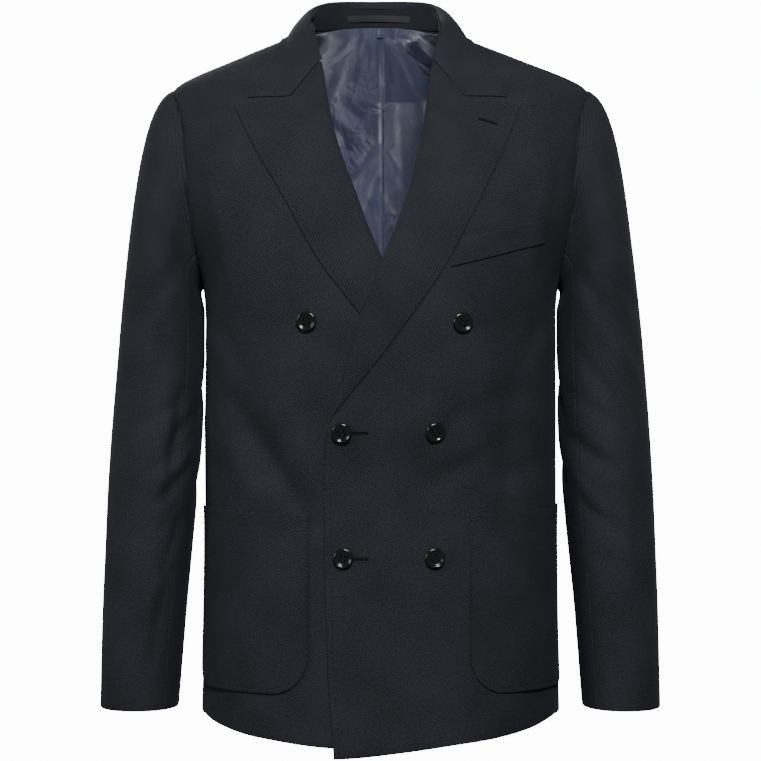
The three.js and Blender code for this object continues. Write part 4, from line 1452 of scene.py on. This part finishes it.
class BLAZER_OT_sleeves(bpy.types.Operator):
    """Cut the top and under sleeves and set them in the armholes"""

    bl_idname = "blazer.sleeves"
    bl_label = "Sleeves"

    def execute(self, context):
        cloth = [finish(suiting), finish(lining)]
        for side, hand in SIDES:
            p = sleeve_net(hand, BACK_SLEEVE_SEAM - 360, FRONT_SLEEVE_SEAM, 84)
            obj = shell(f"{side}_top_sleeve_cloth", p, CLOTH, hand > 0, cloth)
            declare(obj, [f"top_sleeve_{side}"])
            p = sleeve_net(hand, FRONT_SLEEVE_SEAM, BACK_SLEEVE_SEAM, 42)
            obj = shell(f"{side}_under_sleeve_cloth", p, CLOTH, hand > 0, cloth)
            declare(obj, [f"under_sleeve_{side}"])
        return {"FINISHED"}


class BLAZER_OT_lapels(bpy.types.Operator):
    """Turn the lapels back over the fronts, with a soft roll"""

    bl_idname = "blazer.lapels"
    bl_label = "Lapels"

    def execute(self, context):
        for side, hand in SIDES:
            p = lapel_net(hand)
            obj = shell(f"{side}_lapel_cloth", p, TURNED_CLOTH, hand < 0, [finish(facing)])
            declare(obj, [f"lapel_{side}"])
            for which in ("right", "head"):
                path, up = stitch_line(p, hand < 0, which)
                if which == "head":
                    seen = slice(len(LAPEL_INSIDE) + LAPEL_ROLL_STEPS, None)
                    path, up = path[seen], up[seen]
                STITCH_LINES.append((path, up))
        return {"FINISHED"}


class BLAZER_OT_collar(bpy.types.Operator):
    """Fold the collar over its stand and sew in the hanger loop"""

    bl_idname = "blazer.collar"
    bl_label = "Collar"

    def execute(self, context):
        p = collar_net()
        obj = shell("collar_cloth", p, TURNED_CLOTH, False, [finish(facing)])
        declare(obj, ["collar"])
        STITCH_LINES.append(stitch_line(p, False, "head"))
        # The stand wears the suiting a fifth darker, as painted shade
        obj = shell("collar_stand_cloth", stand_net(), STAND_CLOTH, False, [finish(stand_suiting_painted_shade)])
        declare(obj, ["collar_stand"])
        obj = shell("hanger_loop_tape", loop_net(), LOOP_CLOTH, False, [finish(loop_tape)])
        declare(obj, ["hanger_loop"])
        return {"FINISHED"}


class BLAZER_OT_pockets(bpy.types.Operator):
    """Sew on the two hip patches and the breast welt"""

    bl_idname = "blazer.pockets"
    bl_label = "Pockets"

    def execute(self, context):
        for side, hand in SIDES:
            p = pocket_net(hand)
            obj = shell(f"{side}_hip_pocket_cloth", p, PATCH_CLOTH, hand < 0, [finish(suiting)])
            declare(obj, [f"hip_pocket_{side}"])
            for which in ("left", "right", "foot"):
                STITCH_LINES.append(stitch_line(p, hand < 0, which))
        p = welt_net()
        obj = shell("breast_welt_cloth", p, PATCH_CLOTH, False, [finish(suiting)])
        declare(obj, ["breast_welt"])
        STITCH_LINES.append(stitch_line(p, False, "right", 4.0))
        return {"FINISHED"}


def button_frame(x, z, hand):
    """Where a button sits on a front, with its own axes: to the side, up and out."""

    def near(dx, dz):
        return front_point(hand, np.array(x + dx), np.array(z + dz), SHANK)

    side = unit(near(4.0, 0) - near(-4.0, 0))
    out = unit(np.cross(side, near(0, 4.0) - near(0, -4.0)))
    return near(0, 0), np.stack([side, np.cross(out, side), out], axis=1)


BUTTON_HOLES = [(2.1, 2.1), (-2.1, 2.1), (-2.1, -2.1), (2.1, -2.1)]
HOLE_RADIUS = 0.95
HOLE_SPLAY = 0.35
# How far round each button is turned, as it was sewn on
BUTTON_SPINS = (0.1, -0.4, 0.25, 0.5, -0.2, 0.35)


def button_profile():
    """Radius and height along a button's section, from under its middle to over it."""
    section = table(
        "s r h",
        (0, 0, 0.0),
        (1, 7.6, 0.0),
        (2, 9.3, 0.5),
        (3, 10.15, 1.6),
        (4, 10.0, 2.7),
        (5, 9.2, 3.45),
        (6, 8.3, 3.5),
        (7, 7.4, 3.05),
        (8, 6.6, 2.5),
        (9, 5.6, 2.35),
        (10, 2.8, 2.3),
        (11, 0, 2.3),
    )
    s = marks(0, (1, 1), (1.5, 1), (9, 25), (9.6, 1), (10.3, 1), (11, 1))
    return np.maximum(curve(section, "r", s), 0), curve(section, "h", s)


def ring_faces(start, count):
    """Faces from one ring of points up to the next one."""
    faces = []
    for k in range(count):
        m = (k + 1) % count
        faces.append((start + k, start + m, start + count + m, start + count + k))
    return faces


def ring_points(x, y, radius, height, count):
    turns = [2 * math.pi * k / count for k in range(count)]
    return [(x + radius * math.cos(t), y + radius * math.sin(t), height) for t in turns]


def solid(name, points, faces):
    """A mesh in the scene, from points in mm and faces."""
    mesh = bpy.data.meshes.new(name)
    mesh.from_pydata([tuple(c * MM for c in p) for p in points], [], faces)
    mesh.update()
    return put_in_scene(name, mesh)


def button_blank():
    """A button without its holes, turned from its profile."""
    radius, height = button_profile()
    count = 72
    points = [(0, 0, height[0])]
    faces = [(0, 1 + (k + 1) % count, 1 + k) for k in range(count)]
    for r, h in zip(radius[1:-1], height[1:-1]):
        points += ring_points(0, 0, r, h, count)
    top = len(points) - count
    for start in range(1, top, count):
        faces += ring_faces(start, count)
    faces += [(top + k, top + (k + 1) % count, len(points)) for k in range(count)]
    points.append((0, 0, height[-1]))
    return solid("button_blank", points, faces)


def hole_posts():
    """Four posts that pierce a button, splayed a little at the top."""
    points, faces = [], []
    count = 20
    for x, y in BUTTON_HOLES:
        base = len(points)
        for wider, h in ((0, -1), (0, 1.9), (HOLE_SPLAY, 2.45), (HOLE_SPLAY, 5)):
            points += ring_points(x, y, HOLE_RADIUS + wider, h, count)
        top = len(points) - count
        for start in range(base, top, count):
            faces += ring_faces(start, count)
        faces.append(tuple(range(base + count - 1, base - 1, -1)))
        faces.append(tuple(range(top, top + count)))
    return solid("hole_posts", points, faces)


def pierced_button():
    """One button's mesh with its four holes cut through."""
    blank, posts = button_blank(), hole_posts()
    cut = blank.modifiers.new("holes", "BOOLEAN")
    cut.operation = "DIFFERENCE"
    cut.object = posts
    cut.solver = "EXACT"
    view = bpy.context.evaluated_depsgraph_get()
    made = bpy.data.meshes.new_from_object(blank.evaluated_get(view))
    made.name = "pierced_button"
    for obj in (blank, posts):
        bpy.data.objects.remove(obj)
    for polygon in made.polygons:
        polygon.use_smooth = True
    made.set_sharp_from_angle(angle=math.radians(40))
    return made


def tube(path, radius, sides=10, closed=False):
    """Points and faces of a round thread along a line of points."""
    path = np.asarray(path, float)
    ahead = np.roll(path, -1, axis=0) - np.roll(path, 1, axis=0)
    if not closed:
        ahead[0], ahead[-1] = path[1] - path[0], path[-1] - path[-2]
    ahead = unit(ahead)
    guide = np.array([0.13, 0.21, 0.97])
    side = unit(np.cross(ahead, guide))
    up = np.cross(side, ahead)
    turn = np.arange(sides) * 2 * math.pi / sides
    ring = side[:, None] * np.cos(turn)[None, :, None] + up[:, None] * np.sin(turn)[None, :, None]
    radius = np.broadcast_to(radius, (len(path),))
    points = (path[:, None] + ring * radius[:, None, None]).reshape(-1, 3)
    faces = []
    count = len(path)
    for i in range(count if closed else count - 1):
        a, b = i * sides, ((i + 1) % count) * sides
        for k in range(sides):
            m = (k + 1) % sides
            faces.append((a + k, a + m, b + m, b + k))
    if not closed:
        first, last = len(points), len(points) + 1
        points = np.concatenate([points, path[:1], path[-1:]])
        for k in range(sides):
            m = (k + 1) % sides
            faces.append((first, m, k, k))
            end = (count - 1) * sides
            faces.append((last, end + k, end + m, end + m))
    return points, faces


def join_parts(parts):
    points, faces, count = [], [], 0
    for p, f in parts:
        points.append(p)
        faces += [tuple(k + count for k in dict.fromkeys(face)) for face in f]
        count += len(p)
    return np.concatenate(points), faces


def button_thread_parts():
    """Two stitches side by side over a button's middle, through its holes, and the shank below."""
    parts = []
    for y in (2.1, -2.1):
        for shift in (-0.32, 0.32):
            xs = np.linspace(-1, 1, 17)
            arch = 2.25 + 0.62 * (1 - xs**6)
            over = np.stack([2.1 * xs, np.full(17, y + shift), arch], axis=1)
            legs_in = np.array([[-2.1, y + shift, h] for h in (-SHANK - 0.1, 0.4, 1.4)])
            legs_out = legs_in[::-1] * np.array([-1, 1, 1])
            parts.append(tube(np.concatenate([legs_in, over[1:-1], legs_out]), 0.34, 8))
    for k in range(4):
        turn = np.linspace(0, 2 * math.pi, 25)[:-1]
        height = -SHANK + 0.15 + 0.26 * k
        winding = np.stack([2.5 * np.cos(turn), 2.5 * np.sin(turn), 0 * turn + height], axis=1)
        parts.append(tube(winding, 0.3, 6, closed=True))
    return join_parts(parts)


class BLAZER_OT_buttons(bpy.types.Operator):
    """Turn, pierce and sew on the six front buttons"""

    bl_idname = "blazer.buttons"
    bl_label = "Buttons"

    def execute(self, context):
        shape = pierced_button()
        shape.materials.clear()
        shape.materials.append(finish(button_polish))
        thread, faces = button_thread_parts()
        for (name, x, z, hand), turned in zip(BUTTON_PLACES, BUTTON_SPINS):
            spot, basis = button_frame(x, z, hand)
            c, s = math.cos(turned), math.sin(turned)
            basis = basis @ np.array([[c, -s, 0], [s, c, 0], [0, 0, 1]])
            mesh = shape.copy()
            rows = [[*row, place * MM] for row, place in zip(basis, spot)]
            mesh.transform(Matrix([*rows, [0, 0, 0, 1]]))
            declare(put_in_scene(f"{name}_turned", mesh), [name])
            points = spot + thread @ basis.T
            obj = loose_piece(f"{name}_stitches", points, faces, finish(button_thread))
            declare(obj, [f"{name}_thread"])
        return {"FINISHED"}


def worked_hole(place_at, length, width):
    """A worked buttonhole: a purled edge round a narrow slit, with a bar at one end."""
    count = 96
    turn = np.arange(count) * 2 * math.pi / count
    half = length / 2
    x = np.clip(1.25 * np.cos(turn), -1, 1) * (half - width) + np.cos(turn) * width
    y = np.sin(turn) * width
    purl = 0.55 + 0.13 * np.cos(turn * 30)
    ring = place_at(x, y, 0.28)
    parts = [tube(ring, purl, 8, closed=True)]
    for shift in (-0.5, 0.0, 0.5):
        bar = np.linspace(-1, 1, 7)
        parts.append(tube(place_at(np.full(7, -half + shift), bar * (width + 0.6), 0.35), 0.3, 6))
    return join_parts(parts)


def on_front(x0, z0):
    """Places round a point of the left front, for a hole that runs across it."""

    def place(x, y, out):
        return front_point(1, x0 - x, z0 + y, out)

    return place


def on_lapel(start, end):
    """Places round the middle of a line on the left lapel, read from its net."""
    start, end = np.array(start), np.array(end)
    middle, along = (start + end) / 2, unit(end - start)
    flat = lapel_net(1)[:, len(LAPEL_INSIDE) + LAPEL_ROLL_STEPS + 2 :].reshape(-1, 3)

    def place(x, y, out):
        px = middle[0] + x * along[0] - y * along[1]
        pz = middle[1] + x * along[1] + y * along[0]
        found = []
        for a, b in zip(px, pz):
            away = (flat[:, 0] - a) ** 2 + (flat[:, 2] - b) ** 2
            near = np.argsort(away)[:4]
            weight = 1 / (away[near] + 0.05)
            found.append((a, (flat[near, 1] * weight).sum() / weight.sum() - out * 0.8, b))
        return np.array(found)

    return place


class BLAZER_OT_buttonholes(bpy.types.Operator):
    """Work the two front buttonholes and the one on the left lapel"""

    bl_idname = "blazer.buttonholes"
    bl_label = "Buttonholes"

    def execute(self, context):
        holes = [(name, on_front(x, z), 18.0, 0.85) for name, x, z in BUTTONHOLE_PLACES]
        holes.append(("lapel_buttonhole", on_lapel(*LAPEL_BUTTONHOLE), 19.0, 0.7))
        for name, place_at, length, width in holes:
            points, faces = worked_hole(place_at, length, width)
            obj = loose_piece(f"{name}_purl", points, faces, finish(stitch_thread))
            declare(obj, [name])
        return {"FINISHED"}


class BLAZER_OT_stitching(bpy.types.Operator):
    """Prick the stitches along the lapels, collar, front edge, pockets and welt"""

    bl_idname = "blazer.stitching"
    bl_label = "Pick stitching"

    def execute(self, context):
        look = context.scene.blazer_look
        points, faces, count = [], [], 0
        for path, up in STITCH_LINES:
            p, f = stitches_along(path, up, look.stitch_spacing)
            points.append(p)
            faces.append(f + count)
            count += len(p)
        points, faces = np.concatenate(points), np.concatenate(faces).tolist()
        declare(loose_piece("pick_stitches", points, faces, finish(stitch_thread)), [])
        return {"FINISHED"}


# The stage, in metres: a paper sweep behind the blazer, soft round lamps and the photograph's view
SWEEP_HALF = 3.6
SWEEP_TOP = 5.0
SWEEP_WALL = 3.4
SWEEP_BEND = 1.0
LAMPS = (
    ("key_light", (0.2, -2.3, 1.0), (0, 0, -0.38), 0.9, "key_power"),
    ("fill_light", (-2.5, -1.5, 0.3), (0, 0, -0.4), 1.2, "fill_power"),
    ("top_light", (0.0, 0.2, 2.2), (0, 0, -0.2), 2.4, "top_power"),
    ("back_light", (-1.1, 2.7, 1.5), (0, 0, -0.35), 1.4, "back_power"),
    ("backdrop_light_left", (-2.8, 1.6, 0.9), (-0.8, 3.4, 0.0), 1.6, "backdrop_power"),
    ("backdrop_light_right", (2.8, 1.6, 0.9), (0.8, 3.4, 0.0), 1.6, "backdrop_power"),
)
EYE_PLACE = (0, -2.4, -0.361)
EYE_LENS = 107.1


def sweep(floor):
    """The pale paper that runs along the floor and up behind the blazer; it lights no cloth."""
    section = [(-SWEEP_HALF, floor), (SWEEP_WALL - SWEEP_BEND, floor)]
    for turn in np.linspace(0, math.pi / 2, 13)[1:]:
        y = SWEEP_WALL - SWEEP_BEND + SWEEP_BEND * math.sin(turn)
        section.append((y, floor + SWEEP_BEND * (1 - math.cos(turn))))
    section.append((SWEEP_WALL, SWEEP_TOP))
    points = [(x, y, z) for y, z in section for x in (-SWEEP_HALF, SWEEP_HALF)]
    faces = [(2 * k, 2 * k + 1, 2 * k + 3, 2 * k + 2) for k in range(len(section) - 1)]
    obj = loose_piece("backdrop", np.array(points) / MM, faces, finish(plain_backdrop))
    obj.visible_diffuse = False
    obj.visible_glossy = False
    return obj


def lamp(name, place, aim, size, power):
    light = bpy.data.lights.new(name, "AREA")
    light.shape = "DISK"
    light.size = size
    light.energy = power
    obj = put_in_scene(name, light)
    obj.location = place
    obj.rotation_euler = (Vector(aim) - Vector(place)).to_track_quat("-Z", "Y").to_euler()


def photo_view():
    """The camera, level and straight in front, as in the photograph."""
    camera = bpy.data.cameras.new("photo_view")
    camera.sensor_width = 36
    camera.lens = EYE_LENS
    camera.clip_end = 50
    obj = put_in_scene("photo_view", camera)
    obj.location = EYE_PLACE
    obj.rotation_euler = (math.pi / 2, 0, 0)
    return obj


class BLAZER_OT_stage(bpy.types.Operator):
    """Set up the pale floor and backdrop, the soft lights and the camera"""

    bl_idname = "blazer.stage"
    bl_label = "Stage"

    def execute(self, context):
        look = context.scene.blazer_look
        sweep(look.floor_height)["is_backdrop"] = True
        for name, place, aim, size, power in LAMPS:
            lamp(name, place, aim, size, getattr(look, power))
        world = bpy.data.worlds.new("studio")
        world.use_nodes = True
        ground = world.node_tree.nodes["Background"]
        ground.inputs["Color"].default_value = (1, 1, 1, 1)
        ground.inputs["Strength"].default_value = look.world_strength
        context.scene.world = world
        context.scene.camera = photo_view()
        return {"FINISHED"}


class BlazerLook(bpy.types.PropertyGroup):
    """Colours, stitch sizes and studio light that a user would change."""

    cloth_dark: bpy.props.FloatVectorProperty(
        name="Cloth ground", description="Colour of the suiting between its specks",
        default=(0.0011, 0.0012, 0.0016), subtype="COLOR", size=3, min=0, max=1,
    )
    cloth_light: bpy.props.FloatVectorProperty(
        name="Cloth speck", description="Colour of the suiting's light specks",
        default=(0.0175, 0.0183, 0.0231), subtype="COLOR", size=3, min=0, max=1,
    )
    lining_colour: bpy.props.FloatVectorProperty(
        name="Lining", description="Colour of the satin lining",
        default=(0.0238, 0.0277, 0.0535), subtype="COLOR", size=3, min=0, max=1,
    )
    loop_colour: bpy.props.FloatVectorProperty(
        name="Hanger loop", description="Colour of the hanger loop's tape",
        default=(0.0115, 0.0119, 0.014), subtype="COLOR", size=3, min=0, max=1,
    )
    thread_colour: bpy.props.FloatVectorProperty(
        name="Thread", description="Colour of the buttonholes and the pick stitching",
        default=(0.0015, 0.0015, 0.002), subtype="COLOR", size=3, min=0, max=1,
    )
    button_thread_colour: bpy.props.FloatVectorProperty(
        name="Button thread", description="Colour of the thread through the buttons",
        default=(0.006, 0.006, 0.007), subtype="COLOR", size=3, min=0, max=1,
    )
    button_colour: bpy.props.FloatVectorProperty(
        name="Buttons", description="Colour of the polished buttons",
        default=(0.0016, 0.0016, 0.0018), subtype="COLOR", size=3, min=0, max=1,
    )
    backdrop_colour: bpy.props.FloatVectorProperty(
        name="Backdrop", description="Colour of the floor and backdrop",
        default=(0.9, 0.9, 0.9), subtype="COLOR", size=3, min=0, max=1,
    )
    weave_pitch: bpy.props.FloatProperty(
        name="Weave pitch", description="Distance between specks of the weave, in mm",
        default=3.4, min=0.5, max=6,
    )
    stitch_spacing: bpy.props.FloatProperty(
        name="Stitch spacing", description="Distance between pick stitches, in mm",
        default=6.0, min=2, max=20,
    )
    floor_height: bpy.props.FloatProperty(
        name="Floor height", description="Height of the floor under the blazer",
        default=-0.95, unit="LENGTH",
    )
    key_power: bpy.props.FloatProperty(
        name="Key light", description="Power of the main light", default=176, min=0,
    )
    fill_power: bpy.props.FloatProperty(
        name="Fill light", description="Power of the fill light", default=50, min=0,
    )
    top_power: bpy.props.FloatProperty(
        name="Top light", description="Power of the light above", default=6, min=0,
    )
    back_power: bpy.props.FloatProperty(
        name="Back light", description="Power of the light behind", default=70, min=0,
    )
    backdrop_power: bpy.props.FloatProperty(
        name="Backdrop lights", description="Power of the lights on the backdrop", default=60, min=0,
    )
    backdrop_glow: bpy.props.FloatProperty(
        name="Backdrop glow", description="Light that the backdrop gives off itself", default=12.0, min=0,
    )
    world_strength: bpy.props.FloatProperty(
        name="Ambient", description="Strength of the light from all round", default=0.3, min=0,
    )


class BLAZER_PT_panel(bpy.types.Panel):
    """The blazer's pieces and its looks"""

    bl_idname = "BLAZER_PT_panel"
    bl_label = "Blazer"
    bl_space_type = "VIEW_3D"
    bl_region_type = "UI"
    bl_category = "Blazer"

    def draw(self, context):
        for operator in OPERATORS:
            self.layout.operator(operator.bl_idname)
        for name in BlazerLook.__annotations__:
            self.layout.prop(context.scene.blazer_look, name)


OPERATORS = [
    BLAZER_OT_fronts,
    BLAZER_OT_back,
    BLAZER_OT_lining,
    BLAZER_OT_sleeves,
    BLAZER_OT_lapels,
    BLAZER_OT_collar,
    BLAZER_OT_pockets,
    BLAZER_OT_buttons,
    BLAZER_OT_buttonholes,
    BLAZER_OT_stitching,
    BLAZER_OT_stage,
]
CLASSES = [BlazerLook, *OPERATORS, BLAZER_PT_panel]


def register():
    for cls in CLASSES:
        bpy.utils.register_class(cls)
    bpy.types.Scene.blazer_look = bpy.props.PointerProperty(type=BlazerLook)


def unregister():
    del bpy.types.Scene.blazer_look
    for cls in reversed(CLASSES):
        bpy.utils.unregister_class(cls)


def main():
    register()
    for operator in OPERATORS:
        group, name = operator.bl_idname.split(".")
        getattr(getattr(bpy.ops, group), name)()
    sizes = {"cad": CAD_BOX, "visual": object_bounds()}
    plain = json.loads(json.dumps(sizes, default=lambda v: [list(r) if hasattr(r, "__len__") else r for r in v]))


if __name__ == "__main__":
    main()
